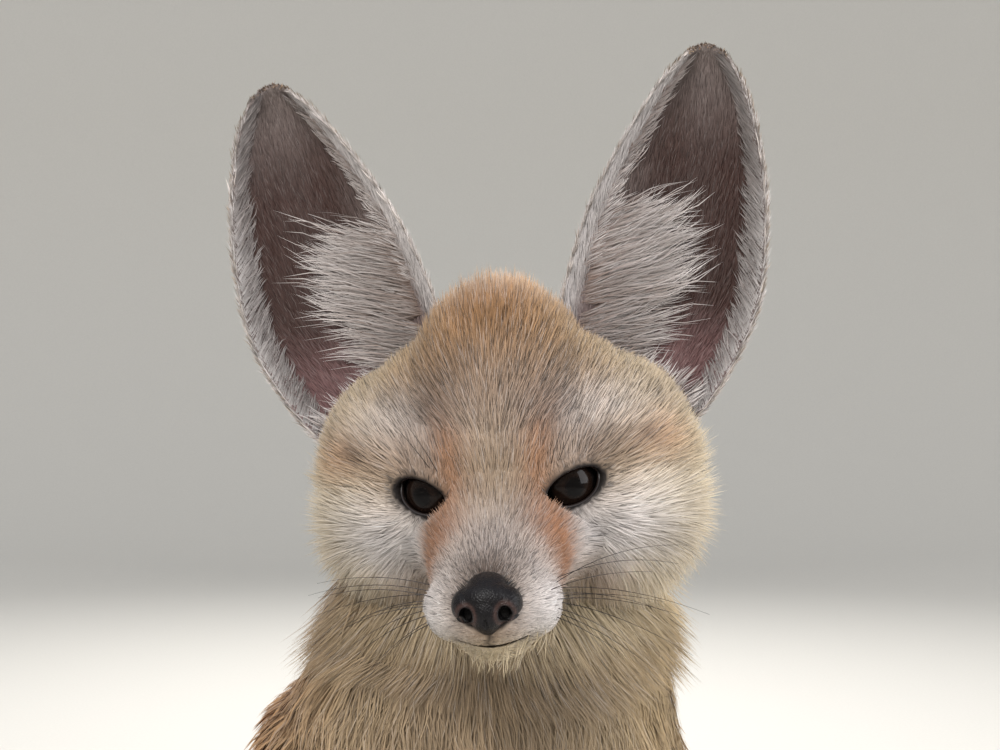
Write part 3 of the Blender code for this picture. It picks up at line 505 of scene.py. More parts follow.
def settled(piece: bpy.types.Object) -> bpy.types.Object:
    """Applies every modifier of a piece.

    Args:
        piece: the piece.

    Returns:
        The same piece.
    """
    graph = bpy.context.evaluated_depsgraph_get()
    mesh = bpy.data.meshes.new_from_object(piece.evaluated_get(graph))
    old = piece.data
    piece.modifiers.clear()
    piece.data = mesh
    bpy.data.meshes.remove(old)
    return piece


def fused(name: str, masses: Sequence[Surface], voxel: float, rounds: int) -> bpy.types.Object:
    """Overlapping masses as one smooth closed form.

    Args:
        name: the form's name.
        masses: the closed surfaces.
        voxel: the size of the grid that they are fused on.
        rounds: how often the form is smoothed.

    Returns:
        The form's object.
    """
    whole = closed_mesh(name, together(masses))
    remesh = whole.modifiers.new("remesh", "REMESH")
    remesh.mode = "VOXEL"
    remesh.voxel_size = voxel
    remesh.use_smooth_shade = True
    soften = whole.modifiers.new("soften", "SMOOTH")
    soften.factor = 0.5
    soften.iterations = rounds
    return settled(whole)


def pressed(form: bpy.types.Object, low: float) -> bpy.types.Object:
    """A form with nothing below a height: what was there is pressed flat."""
    points = vectors_of(form.data)
    points[:, 2] = np.maximum(points[:, 2], low)
    form.data.vertices.foreach_set("co", points.astype(np.float32).ravel())
    return form


def cut(piece: bpy.types.Object, cutter: bpy.types.Object) -> bpy.types.Object:
    """Takes the cutter away from a piece, and removes the cutter.

    Args:
        piece: the piece.
        cutter: the form to take away.

    Returns:
        The same piece.
    """
    knife = piece.modifiers.new("cut", "BOOLEAN")
    knife.operation = "DIFFERENCE"
    knife.solver = "EXACT"
    knife.object = cutter
    settled(piece)
    bpy.data.objects.remove(cutter)
    return piece


def almond(half_length: float, half_height: float, count: int) -> Array:
    """Points round a slightly pointed oval: x = a cos t, y = b sin t |sin t|^0.1."""
    t = ring_angles(count)
    across = half_height * np.abs(np.sin(t)) ** 1.1 * np.sign(np.sin(t))
    return np.stack([half_length * np.cos(t), across], axis=1)


@dataclass(frozen=True)
class Head:
    """The skull, muzzle, cheeks and upper neck, under their short coat."""

    placing: Placing
    coat: float = 0.0024
    muzzle_coat: float = 0.0012
    voxel: float = 0.00122
    muzzle_line: tuple = ((0, 0.012, -0.0100), (0, -0.002, -0.0118), (0, -0.012, -0.0142),
                          (0, -0.0220, -0.0166), (0, -0.0310, -0.0183), (0, -0.0375, -0.0187),
                          (0, -0.0410, -0.0187))
    muzzle_spans: tuple = ((0.0300, 0.0220), (0.0225, 0.0172), (0.0182, 0.0138), (0.0162, 0.0115),
                           (0.0142, 0.0100), (0.0105, 0.0080), (0.0055, 0.0050))

    def mass(self, centre: Sequence[float], radii: Sequence[float], coat: float) -> Surface:
        """An ellipsoid of the head, in the frame, a coat's depth inside its size."""
        return ball(self.placing.spot(centre), np.asarray(radii) - coat, self.placing.head)

    def masses(self) -> list[Surface]:
        """Skull, brow, muzzle, pads, chin, throat, slopes, temples, cheeks, the lids' mounds and the neck."""
        coat, thin = self.coat, self.muzzle_coat
        found = [
            self.mass((0, 0.030, 0.0105), (0.0285, 0.036, 0.0355), coat),
            self.mass((0, 0.010, 0.0035), (0.0270, 0.0180, 0.0185), coat),
            self.mass((0, 0.027, 0.003), (0.0450, 0.027, 0.030), coat),
            self.mass((0, -0.0265, -0.0265), (0.0095, 0.0100, 0.0058), thin),
            self.mass((0, -0.0040, -0.0200), (0.0160, 0.0240, 0.0110), coat),
        ]
        spans = np.asarray(self.muzzle_spans) - np.linspace(coat, thin, len(self.muzzle_spans))[:, None]
        found.append(sleeve(self.placing.from_head(np.asarray(self.muzzle_line, float)), spans,
                            self.placing.head[:, 0]))
        for side in Side:
            s = side.value
            found += [
                self.mass((0.0170 * s, 0.027, 0.0080), (0.0215, 0.0245, 0.0255), coat),
                self.mass((0.0245 * s, 0.028, 0.0035), (0.0245, 0.026, 0.0248), coat),
                self.mass((0.0240 * s, 0.0245, -0.0090), (0.0230, 0.0260, 0.0230), coat),
                self.mass((0.0250 * s, 0.028, -0.0180), (0.0130, 0.018, 0.0160), coat),
                self.mass((0.0080 * s, -0.0280, -0.0193), (0.0088, 0.0100, 0.0084), thin),
            ]
            centre, axes = self.placing.eye(side)
            found.append(ball(centre, (EYE_RADIUS + LID_THICKNESS,) * 3, axes))
        found.append(neck(self.placing, NECK_COAT))
        return found

    def socket(self, side: Side) -> Surface:
        """The hollow of an eye: the eyeball, a little larger."""
        centre, axes = self.placing.eye(side)
        return ball(centre, (EYE_RADIUS + 0.0001,) * 3, axes, 24, 36)

    def slot(self, side: Side) -> Surface:
        """The opening between the lids, an almond in section that widens outwards.

        Args:
            side: which eye.

        Returns:
            Its points and quads.
        """
        centre, axes = self.placing.eye(side)
        rings = []
        for out, grow in ((0.3, 0.0), (0.3, 1.0), (1.0, 1.03), (2.2, 1.25), (2.2, 0.0)):
            ring = almond(EYE_OPENING[0] * grow, EYE_OPENING[1] * grow, 40)
            rings.append(np.column_stack([ring, np.full(len(ring), EYE_RADIUS * out)]))
        points = np.vstack(rings) @ axes.T + centre
        return points, grid_faces(len(rings), 40)

    def lips(self) -> Surface:
        """The parting of the lips: a thin bent sheet along the mouth, open in front, closed behind.

        Its height is -0.0252 + 14 x^2 + 0.12 (y + 0.038), and half its thickness falls from 0.8 mm
        in front to almost nothing at the corners, and sideways as 1.25 - (x / 8.5 mm)^2.
        """
        x, y = np.meshgrid(np.linspace(-0.0180, 0.0180, 25), np.linspace(-0.050, -0.0125, 22), indexing="ij")
        z = mouth_height(x, y)
        half = np.interp(y, [-0.040, -0.028, -0.0125], [0.00080, 0.00045, 0.00008])
        half = half * np.clip(1.25 - (x / 0.0085) ** 2, 0.10, 1.0)
        upper = np.stack([x, y, z + half * 1.3], axis=-1).reshape(-1, 3)
        lower = np.stack([x, y, z - half * 0.7], axis=-1).reshape(-1, 3)
        return shell(upper, lower, 25, 22, self.placing.from_head)

    def build(self) -> bpy.types.Object:
        """The head's form with its sockets, lids and mouth."""
        whole = fused("head_form", self.masses(), self.voxel, 6)
        for surface in [self.lips()] + [make(side) for side in Side for make in (self.socket, self.slot)]:
            cut(whole, closed_mesh("cutter", surface))
        return whole


def shell(upper: Array, lower: Array, rows: int, columns: int, place: Callable[[Array], Array]) -> Surface:
    """A closed sheet between two grids of points.

    Args:
        upper: one grid, row by row.
        lower: the other grid.
        rows: how many rows.
        columns: points in a row.
        place: takes the points into the frame.

    Returns:
        Its points and quads.
    """
    count = rows * columns
    top = grid_faces(rows, columns, closed=False)
    rim = np.concatenate([np.arange(columns), np.arange(1, rows) * columns + columns - 1,
                          (rows - 1) * columns + np.arange(columns - 2, -1, -1),
                          np.arange(rows - 2, 0, -1) * columns])
    after = np.roll(rim, -1)
    edge = np.stack([rim, rim + count, after + count, after], axis=1)
    return place(np.vstack([upper, lower])), np.vstack([top, top[:, ::-1] + count, edge])


def mouth_height(x: Array, y: Array) -> Array:
    """The height of the mouth's line in the head's axes: it rises to the sides and backwards."""
    return -0.0252 + 14.0 * x * x + 0.12 * (y + 0.038)


def neck(placing: Placing, coat: float) -> Surface:
    """The neck, up into the head, inside its ruff.

    Args:
        placing: where the fox stands.
        coat: how deep it lies under the coat.

    Returns:
        Its points and quads.
    """
    spans = np.array([(0.030, 0.022), (0.0440, 0.034), (0.0520, 0.043), (0.0575, 0.050), (0.0600, 0.053)])
    depth = np.array((0.0, 0.7, 1.0, 1.0, 1.0))[:, None] * coat
    centres = np.array([(0.002, -0.016, 0.246), (0.002, -0.011, 0.226), (0.0035, -0.006, 0.206),
                        (0.002, -0.003, 0.186), (0, 0.003, 0.162)])
    return sleeve(centres + placing.shift, spans - depth)


@dataclass(frozen=True)
class Body:
    """The trunk, neck, legs and tail, under their coat."""

    placing: Placing
    coat: float = 0.0035
    leg_coat: float = 0.0020
    voxel: float = 0.0029
    tail_core: float = 0.42

    def mass(self, centre: Sequence[float], radii: Sequence[float], coat: float) -> Surface:
        """An ellipsoid of the body, in the frame, a coat's depth inside its size."""
        return ball(np.asarray(centre) + self.placing.shift, np.asarray(radii) - coat)

    def tube(self, centres: Sequence, spans: Sequence, coat: float) -> Surface:
        """A sleeve of the body, in the frame, a coat's depth inside its size."""
        return sleeve(np.asarray(centres) + self.placing.shift, np.asarray(spans) - coat)

    def limbs(self, side: Side) -> list[Surface]:
        """A shoulder and foreleg, and the folded thigh, knee and shank.

        Args:
            side: which side.

        Returns:
            Their surfaces.
        """
        s = side.value
        coat, thin = self.coat, self.leg_coat
        return [
            self.mass((0.040 * s, 0.000, 0.146), (0.0225, 0.030, 0.040), coat),
            self.tube([(0.034 * s, -0.004, 0.125), (0.031 * s, -0.010, 0.100), (0.0275 * s, -0.022, 0.072),
                       (0.025 * s, -0.034, 0.045), (0.024 * s, -0.041, 0.018)],
                      [0.020, 0.0170, 0.0135, 0.0120, 0.0118], thin),
            self.mass((0.047 * s, 0.082, 0.064), (0.027, 0.050, 0.047), coat),
            self.mass((0.053 * s, 0.042, 0.058), (0.0185, 0.027, 0.030), coat),
            self.tube([(0.053 * s, 0.030, 0.050), (0.051 * s, 0.060, 0.036), (0.048 * s, 0.100, 0.022),
                       (0.047 * s, 0.122, 0.014)], [0.016, 0.015, 0.0135, 0.012], thin),
        ]

    def tail(self) -> tuple[Array, Array]:
        """The middle line of the tail's flesh, lowered towards the floor, and its radii."""
        line = np.asarray(TAIL_LINE)
        brush = np.asarray(TAIL_BRUSH)
        flesh = brush * self.tail_core
        drop = (brush - flesh) * np.minimum(1.0, np.arange(len(brush)) / 3) * 0.62
        return line - drop[:, None] * (0, 0, 1) + self.placing.shift, flesh

    def tail_stations(self) -> Array:
        """The middle line of the tail's flesh as evenly numbered places."""
        return along(self.tail()[0], TAIL_STATIONS)

    def masses(self) -> list[Surface]:
        """Trunk, chest, rump, neck, limbs and tail."""
        found = [
            self.tube([(0, -0.002, 0.190), (0, 0.0045, 0.172), (0, 0.019, 0.150), (0, 0.043, 0.126),
                       (0, 0.070, 0.099), (0, 0.096, 0.075), (0, 0.122, 0.056), (0, 0.143, 0.045)],
                      [(0.047, 0.040), (0.0590, 0.047), (0.0620, 0.050), (0.0585, 0.051), (0.0570, 0.051),
                       (0.0565, 0.050), (0.0490, 0.044), (0.032, 0.030)], self.coat),
            self.mass((0, -0.022, 0.150), (0.0420, 0.0305, 0.0460), 0.001),
            self.mass((0, 0.122, 0.040), (0.041, 0.036, 0.044), self.coat),
            neck(self.placing, NECK_COAT),
        ]
        for side in Side:
            found += self.limbs(side)
        line, radii = self.tail()
        found.append(sleeve(line, radii, (0, 0, 1), rings=60))
        return found

    def build(self) -> bpy.types.Object:
        """The body's form."""
        return pressed(fused("body_form", self.masses(), self.voxel, 6), 0.0003)


@dataclass(frozen=True)
class Foot:
    """One foot: a sole, four toes and, on a hind foot, the long heel."""

    placing: Placing
    side: Side
    hind: bool
    coat: float = 0.0009
    voxel: float = 0.0015
    toes: tuple = ((-0.72, -0.22, 0.26), (-0.27, -0.34, 0.30), (0.27, -0.34, 0.30), (0.72, -0.22, 0.26))

    @property
    def sizes(self) -> tuple[Array, float, float, float, float]:
        """The foot's centre, its turn, length, half width and height."""
        s = self.side.value
        if self.hind:
            return np.array((0.054 * s, 0.030, 0)), math.radians(5) * s, 0.036, 0.0125, 0.020
        return np.array((0.0235 * s, -0.046, 0)), math.radians(4) * s, 0.034, 0.0125, 0.022

    def place(self, points: Array) -> Array:
        """Points in the foot's axes, in the frame's."""
        centre, turn = self.sizes[:2]
        return points @ turning(2, turn).T + centre + self.placing.shift

    def masses(self) -> list[Surface]:
        """The sole, the toes and the heel."""
        _, turn, length, width, height = self.sizes
        sole = np.array([(0, length * 0.57, height * 0.60), (0, length * 0.52, height * 0.60),
                         (0, length * 0.38, height * 0.60), (0, length * 0.16, height * 0.58),
                         (0, -length * 0.15, height * 0.52), (0, -length * 0.30, height * 0.45)])
        spans = np.array([(width * 0.22, height * 0.20), (width * 0.62, height * 0.50),
                          (width * 0.82, height * 0.60), (width * 0.92, height * 0.59),
                          (width, height * 0.54), (width * 0.86, height * 0.45)])
        axes = turning(2, turn)
        found = [sleeve(self.place(sole), spans - self.coat, axes[:, 0])]
        for x, y, r in self.toes:
            centre = self.place(np.array([(x * width, y * length - 0.004, height * 0.42)]))[0]
            radii = np.array((width * r * 1.12, width * 0.62, height * 0.46)) - self.coat * 0.6
            found.append(ball(centre, radii, axes))
        if self.hind:
            s = self.side.value
            heel = np.array([(0.0465 * s, 0.1285, 0.0125), (0.0465 * s, 0.1265, 0.0125),
                             (0.0468 * s, 0.121, 0.0125), (0.0475 * s, 0.108, 0.0128),
                             (0.050 * s, 0.080, 0.0124), (0.053 * s, 0.045, 0.0115),
                             (0.0535 * s, 0.035, 0.0105)]) + self.placing.shift
            spans = np.array([(0.0022, 0.0026), (0.0062, 0.0082), (0.0086, 0.0110), (0.0092, 0.0118),
                              (0.0088, 0.0112), (0.0108, 0.0104), (0.0105, 0.0095)])
            found.append(sleeve(heel, spans - self.coat))
        return found

    def build(self) -> bpy.types.Object:
        """The foot's form, its sole pressed flat on the floor."""
        return pressed(fused("foot_form", self.masses(), self.voxel, 4), 0.0006)

    def claws(self) -> tuple[Array, Array]:
        """The paths and radii of the four claws, each a short hooked cone."""
        _, _, length, width, height = self.sizes
        paths = []
        for x, y, _ in self.toes:
            tip = y * length - 0.004 - width * 0.62
            paths.append(self.place(along([(x * width, tip + 0.0045, height * 0.46),
                                           (x * width, tip + 0.0008, height * 0.46),
                                           (x * width * 1.02, tip - 0.0018, height * 0.30),
                                           (x * width * 1.03, tip - 0.0030, height * 0.13)], 9)))
        radii = np.interp(np.linspace(0, 1, 9), [0, 0.3, 0.75, 1.0], [0.0011, 0.0011, 0.0007, 0.00005])
        return np.stack(paths), np.tile(radii, (4, 1))


@dataclass(frozen=True)
class Ear:
    """One large cupped ear: a bent sheet between an inner and an outer edge."""

    placing: Placing
    side: Side
    inner: tuple = ((0.022, 0.020), (0.0150, 0.034), (0.0155, 0.046), (0.0190, 0.058), (0.0254, 0.073),
                    (0.0355, 0.089), (0.0450, 0.1010), (0.0530, 0.1085))
    outer: tuple = ((0.034, 0.004), (0.0505, 0.014), (0.0620, 0.0290), (0.0685, 0.0430), (0.0712, 0.0600),
                    (0.0715, 0.0760), (0.0690, 0.0940), (0.0645, 0.1065))
    tip_rise: float = 0.0042
    edge_back: float = 0.031
    cup_depth: float = 0.017
    lean_back: float = 0.10
    thickness: float = 0.0014
    inset: float = 0.022
    rows: int = 80
    columns: int = 44

    def surface(self, u: Array, v: Array) -> Array:
        """A point of the ear's middle sheet, in the frame.

        u runs from root to tip along both edges, v from the inner edge to the outer. The sheet lies
        on the line between the edges, bowed up at the tip by sin(pi v) u^6, and set back by the cup:
        its depth falls off towards the tip and goes round the hollow as sin(pi v^0.9)^0.75.

        Args:
            u: places up the ear, 0 to 1.
            v: places across it, 0 to 1.

        Returns:
            The points.
        """
        inner, outer = along(self.inner, 161), along(self.outer, 161)
        step = np.clip(u, 0, 1) * 160
        low = np.minimum(step.astype(int), 159)
        share = (step - low)[..., None]
        edge_in = inner[low] * (1 - share) + inner[low + 1] * share
        edge_out = outer[low] * (1 - share) + outer[low + 1] * share
        flat = edge_in * (1 - v[..., None]) + edge_out * v[..., None]
        rise = self.tip_rise * np.sin(math.pi * v) * u ** 6
        x, z = flat[..., 0], flat[..., 1] + rise
        cup = self.cup_depth * (1 - 0.15 * u) * np.sqrt(np.clip(1 - u ** 3, 0, 1))
        hollow = np.sin(math.pi * np.clip(v, 0, 1) ** 0.9) ** 0.75
        back = self.edge_back + self.lean_back * (z - 0.03) + cup * hollow
        points = np.stack([x * self.side.value, back, z], axis=-1)
        return self.placing.from_ear(points.reshape(-1, 3)).reshape(points.shape)

    def normals(self, u: Array, v: Array) -> Array:
        """The direction out of the cup at each place."""
        step = 0.004
        up = self.surface(np.minimum(u + step, 1), v) - self.surface(np.maximum(u - step, 0), v)
        across = self.surface(u, np.minimum(v + step, 1)) - self.surface(u, np.maximum(v - step, 0))
        return unit(np.cross(across, up)) * self.side.value

    def grids(self) -> tuple[Array, Array, Array, Array]:
        """The sheet's u and v, and its points in front and behind."""
        u, v = np.meshgrid(np.linspace(0, 1 - self.inset * 0.5, self.rows),
                           np.linspace(self.inset, 1 - self.inset, self.columns), indexing="ij")
        middle, out = self.surface(u, v), self.normals(u, v)
        edge = np.clip(np.sin(math.pi * (v - self.inset) / (1 - 2 * self.inset)) * 6, 0.25, 1)[..., None]
        half = out * edge * self.thickness / 2
        return u, v, middle + half, middle - half

    def build(self) -> bpy.types.Object:
        """The ear's sheet as a closed form."""
        _, _, front, back = self.grids()
        surface = shell(front.reshape(-1, 3), back.reshape(-1, 3), self.rows, self.columns, lambda p: p)
        return closed_mesh("ear_form", surface)


@dataclass
class Sheet:
    """Triangles of the skin that hair grows from, with their normals and their place on its unwrap."""

    points: Array
    normals: Array
    triangles: Array
    places: Array

    @classmethod
    def of(cls, piece: bpy.types.Object) -> Sheet:
        """Reads a mesh with a UV map.

        Args:
            piece: the mesh's object.

        Returns:
            All its triangles.
        """
        mesh = piece.data
        mesh.calc_loop_triangles()
        triangles = np.empty(len(mesh.loop_triangles) * 3, np.int32)
        corners = np.empty(len(mesh.loop_triangles) * 3, np.int32)
        mesh.loop_triangles.foreach_get("vertices", triangles)
        mesh.loop_triangles.foreach_get("loops", corners)
        flat = np.empty(len(mesh.loops) * 2, np.float32)
        mesh.uv_layers.active.data.foreach_get("uv", flat)
        return cls(vectors_of(mesh), vectors_of(mesh, "normal"), triangles.reshape(-1, 3),
                   flat.reshape(-1, 2)[corners].reshape(-1, 3, 2).astype(float))

    def kept(self, mask: Array) -> Sheet:
        """The sheet with only the triangles that the mask keeps."""
        return Sheet(self.points, self.normals, self.triangles[mask], self.places[mask])

    def middles(self) -> Array:
        """The middle of each triangle."""
        return self.points[self.triangles].mean(axis=1)

    def scatter(self, draw: np.random.Generator, density: Array | float) -> tuple[Array, Array, Array]:
        """Random roots on the sheet.

        Args:
            draw: the seeded random numbers.
            density: roots a square metre, one number or one for each triangle.

        Returns:
            The roots, their outward directions and their places on the unwrap.
        """
        a, b, c = (self.points[self.triangles[:, k]] for k in range(3))
        area = 0.5 * np.linalg.norm(np.cross(b - a, c - a), axis=1)
        wanted = draw.poisson(area * density)
        pick = np.repeat(np.arange(len(area)), wanted)
        r, s = draw.random(len(pick)), draw.random(len(pick))
        fold = r + s > 1
        r, s = np.where(fold, 1 - r, r), np.where(fold, 1 - s, s)
        share = np.stack([1 - r - s, r, s], axis=1)[..., None]
        corners = self.triangles[pick]
        roots = (self.points[corners] * share).sum(axis=1)
        outward = unit((self.normals[corners] * share).sum(axis=1))
        return roots, outward, (self.places[pick] * share).sum(axis=1)


def shade(red: int, green: int, blue: int) -> Array:
    """A dataclass field that holds a colour."""
    return field(default_factory=lambda: paint(red, green, blue))


@dataclass(frozen=True)
class Palette:
    """The colours of the coat and the bare skin."""

    sandy: Array = shade(162, 132, 104)
    crown: Array = shade(172, 134, 86)
    rufous: Array = shade(162, 100, 42)
    cream: Array = shade(218, 200, 168)
    white: Array = shade(230, 224, 222)
    chest: Array = shade(184, 162, 130)
    straw: Array = shade(190, 162, 114)
    back: Array = shade(178, 142, 104)
    grey: Array = shade(150, 138, 134)
    brown: Array = shade(92, 68, 54)
    black: Array = shade(30, 24, 22)
    cup: Array = shade(72, 48, 42)
    pink: Array = shade(150, 112, 112)


@dataclass(frozen=True)
class Markings:
    """The coat's colours over the fox, the same on the skin and on the hair."""

    placing: Placing
    palette: Palette = field(default_factory=Palette)

    def head(self, points: Array) -> Array:
        """The colour at points of the head, in the frame.

        Args:
            points: places in the frame.

        Returns:
            A colour for each.
        """
        p, h = self.palette, self.placing.to_head(points)
        fold = folded(h)
        x, y, z = fold.T
        colour = np.tile(p.sandy, (len(h), 1))
        colour = over(colour, p.crown, ramp(z, 0.014, 0.040) * 0.85)
        colour = spotted(colour, fold, [(p.rufous, (0.004, 0.010, 0.044), (0.012, 0.020, 0.010), 0.5)])
        colour = over(colour, p.cream, ramp(x, 0.020, 0.034) * ramp(-z, -0.028, -0.004))
        colour = over(colour, p.cream, ramp(-z, 0.020, 0.030) * ramp(y, -0.060, -0.020))
        colour = spotted(colour, fold, (
            (p.cream, (0.036, 0.024, 0.030), (0.012, 0.014, 0.012), 0.75),
            (p.rufous, (0.0350, 0.008, 0.0065), (0.0070, 0.010, 0.0050), 0.60),
            (p.grey, (0.006, -0.002, 0.018), (0.012, 0.014, 0.012), 0.38),
            (p.cream, (0.0, -0.008, 0.004), (0.0060, 0.014, 0.010), 0.20),
            (p.white, (0.0235, 0.002, 0.0140), (0.0105, 0.014, 0.0048), 0.50),
            (p.brown, (0.0125, 0.000, 0.0170), (0.0035, 0.012, 0.0060), 0.35),
            (p.rufous, (0.0100, -0.004, 0.0065), (0.0030, 0.008, 0.0070), 0.55),
            (p.white, (0.0255, -0.004, -0.0105), (0.0105, 0.014, 0.0075), 1.0),
            (p.white, (0.0125, -0.031, -0.0200), (0.0065, 0.011, 0.0080), 1.0),
            (p.cream, (0.0, -0.034, -0.0290), (0.0110, 0.012, 0.0040), 1.0)))
        colour = striped(colour, fold, (
            (p.rufous, (0.0100, -0.0040, -0.0030), (0.0105, -0.0140, -0.0090), 0.0030, 1.0),
            (p.rufous, (0.0110, -0.0140, -0.0090), (0.0170, -0.0195, -0.0150), 0.0044, 0.95)))
        colour = spotted(colour, fold, (
            (p.white, (0.0, -0.0240, -0.0060), (0.0085, 0.0100, 0.0060), 0.45),
            (p.grey, (0.0, -0.0250, -0.0060), (0.0050, 0.0080, 0.0050), 0.50),
            (p.brown * 0.55, (0.0, -0.0335, -0.0088), (0.0046, 0.0048, 0.0040), 0.80)))
        colour = striped(colour, fold, (
            (p.brown, (0.0275, 0.0020, 0.0050), (0.0330, 0.0060, 0.0085), 0.0012, 0.80),
            (p.brown, (0.0112, -0.0025, -0.0042), (0.0098, -0.0085, -0.0072), 0.0014, 0.85)))
        near = np.linalg.norm(fold - EYE_CENTRE, axis=1)
        slit = self.in_slit(fold)
        colour = over(colour, p.black, (1 - ramp(slit, 1.10, 1.34)) * (1 - ramp(near, 0.0125, 0.0140)))
        groove = (1 - ramp(x, 0.0003, 0.0010)) * ramp(-z, 0.0180, 0.0190) * ramp(-y, 0.034, 0.037)
        colour = over(colour, p.black, groove * (1 - ramp(-z, 0.0255, 0.0260)) * 0.8)
        bed = np.sum(((h - (0, -0.0385, -0.0150)) / (0.0070, 0.0062, 0.0062)) ** 2, axis=1)
        colour = over(colour, p.black * 0.3, 1 - ramp(bed, 0.80, 1.05))
        seam = np.abs(z - mouth_height(h[:, 0], y))
        front = ramp(-y, 0.012, 0.020) * (1 - ramp(x, 0.0065, 0.0095))
        colour = over(colour, p.black, (1 - ramp(seam, 0.0004, 0.0009)) * front * 0.9)
        colour = over(colour, p.back, ramp(y + 0.5 * z, 0.034, 0.054))
        collar = (self.placing.to_fox(points) - COLLAR_PLACE) @ COLLAR_WAY
        return over(colour, self.body(points), 1 - ramp(collar, 0.002, 0.022))

    def ticked(self, points: Array) -> Array:
        """The share of dark-tipped tufts on the head: most on the forehead and on top of the muzzle."""
        fold = folded(self.placing.to_head(points))
        brow = blob(fold, (0.012, 0.006, 0.026), (0.020, 0.024, 0.014))
        bridge = blob(fold, (0.0, -0.030, -0.009), (0.008, 0.009, 0.005))
        return 0.03 + 0.24 * brow + 0.35 * bridge

    def in_slit(self, fold: Array) -> Array:
        """How far a point lies from the middle of the eye's opening, 1 at its edge.

        With a along the slit and b across it, in units of its half sizes, it is the root of
        a^2 + |b|^1.8, which is 1 on the almond.

        Args:
            fold: places in the head's axes, laid on the left side.

        Returns:
            The distance of each.
        """
        level = unit(np.cross((0, 0, 1), EYE_LOOK))
        up = np.cross(EYE_LOOK, level)
        slit = unit(level * math.cos(EYE_SLANT) + up * math.sin(EYE_SLANT))
        rise = np.cross(EYE_LOOK, slit)
        apart = fold - EYE_CENTRE
        return np.hypot(apart @ slit / EYE_OPENING[0], np.abs(apart @ rise / EYE_OPENING[1]) ** 0.9)

    def body(self, points: Array) -> Array:
        """The colour at points of the neck, trunk, legs, feet and tail, in the frame, with a painted shadow
        under the chin.

        Args:
            points: places in the frame.

        Returns:
            A colour for each.
        """
        p, f = self.palette, self.placing.to_fox(points)
        x, y, z = f.T
        colour = np.tile(p.back, (len(f), 1))
        front = ramp(-y + 0.10 * (z - 0.12) - 0.022 * ramp(z, 0.160, 0.205), -0.022, 0.012)
        colour = over(colour, p.chest, front)
        colour = over(colour, p.straw, front * ramp(x, 0.000, 0.045) * ramp(z, 0.10, 0.16) * 0.55)
        colour = over(colour, p.cream, front * blob(f, (-0.005, -0.055, 0.164), (0.034, 0.034, 0.026)) * 0.8)
        colour = spotted(colour, f, (
            # a painted shadow under the chin, on the throat
            (p.brown, (-0.012, -0.048, 0.200), (0.026, 0.026, 0.016), 0.55),
            (p.rufous, (-0.055, 0.010, 0.160), (0.022, 0.026, 0.030), 0.30),
            (p.rufous, (0.055, 0.014, 0.160), (0.022, 0.026, 0.030), 0.25)))
        fore = ramp(-y, -0.030, 0.0)
        colour = over(colour, p.cream, ramp(-z, -0.085, -0.050) * fore)
        colour = over(colour, p.white, ramp(-z, -0.090, -0.020) * fore * 0.45)
        colour = over(colour, p.cream, ramp(0.040 - np.abs(x), 0.0, 0.020) * ramp(-z, -0.080, -0.050)
                      * (1 - ramp(y, 0.100, 0.130)))
        colour = over(colour, p.cream * 0.6 + p.white * 0.4, (1 - ramp(z, 0.012, 0.034)) * 0.75)
        return spotted(colour, f, [(p.rufous, (0, 0.070, 0.150), (0.030, 0.080, 0.030), 0.35)])

    def tail(self, points: Array, share: Array) -> Array:
        """The colour of the tail at a share of its length: rufous sand, dark over its base and at its tip.

        Args:
            points: places in the frame.
            share: how far along the tail each lies, 0 to 1.

        Returns:
            A colour for each.
        """
        p, f = self.palette, self.placing.to_fox(points)
        colour = over(np.tile(p.back, (len(f), 1)), p.rufous, np.full(len(f), 0.35))
        colour = over(colour, p.chest, (1 - ramp(f[:, 2], 0.004, 0.022)) * 0.6)
        patch = np.exp(-0.5 * ((share - 0.16) / 0.035) ** 2) * ramp(f[:, 2], 0.022, 0.034)
        colour = over(colour, p.brown, patch * 0.8)
        return over(colour, p.black, ramp(share, 0.74, 0.86))

    def cup(self, u: Array, v: Array) -> Array:
        """The colour inside an ear, by place up it and across it: dark, pink below, with pale rims.

        Args:
            u: places up the ear.
            v: places across it.

        Returns:
            A colour for each.
        """
        p = self.palette
        colour = np.tile(p.cup, (len(u), 1))
        colour = over(colour, p.pink, (1 - ramp(u, 0.16, 0.42)) * 0.75)
        colour = over(colour, p.grey, ramp(u, 0.66, 0.95) * 0.60)
        # a painted shadow where a fold lies low by the cup's outer edge
        fold = np.exp(-0.5 * (((u - 0.12) / 0.035) ** 2 + ((v - 0.90) / 0.05) ** 2))
        colour = over(colour, p.black, fold * 0.8)
        colour = over(colour, p.grey, (1 - ramp(v, 0.14, 0.40)) * (1 - ramp(u, 0.50, 0.80)) * 0.55)
        colour = over(colour, p.white, (1 - ramp(v, 0.04 + 0.03 * u, 0.12 + 0.04 * u)) * 0.75)
        colour = over(colour, p.grey, ramp(v, 0.88, 0.97) * 0.40)
        colour = over(colour, p.white, ramp(v, 0.95, 0.985) * 0.85)
        colour = over(colour, p.grey, ramp(u, 0.94, 0.985) * 0.6)
        return over(colour, p.cream, (1 - ramp(u, 0.02, 0.10)) * 0.8)

    def ear_back(self, u: Array, v: Array) -> Array:
        """The colour of an ear's back: sand, more rufous at the root, with a paler edge.

        Args:
            u: places up the ear.
            v: places across it.

        Returns:
            A colour for each.
        """
        p = self.palette
        colour = np.tile(p.back, (len(u), 1))
        colour = over(colour, p.cream, ramp(np.abs(v - 0.5), 0.10, 0.45) * 0.45)
        colour = over(colour, p.grey, ramp(u, 0.45, 0.95) * 0.30)
        colour = over(colour, p.white, np.maximum(1 - ramp(v, 0.02, 0.09), ramp(v, 0.93, 0.985)) * 0.75)
        return over(colour, p.brown, blob(np.column_stack([u, v]), (0.97, 0.5), (0.04, 0.30)) * 0.35)


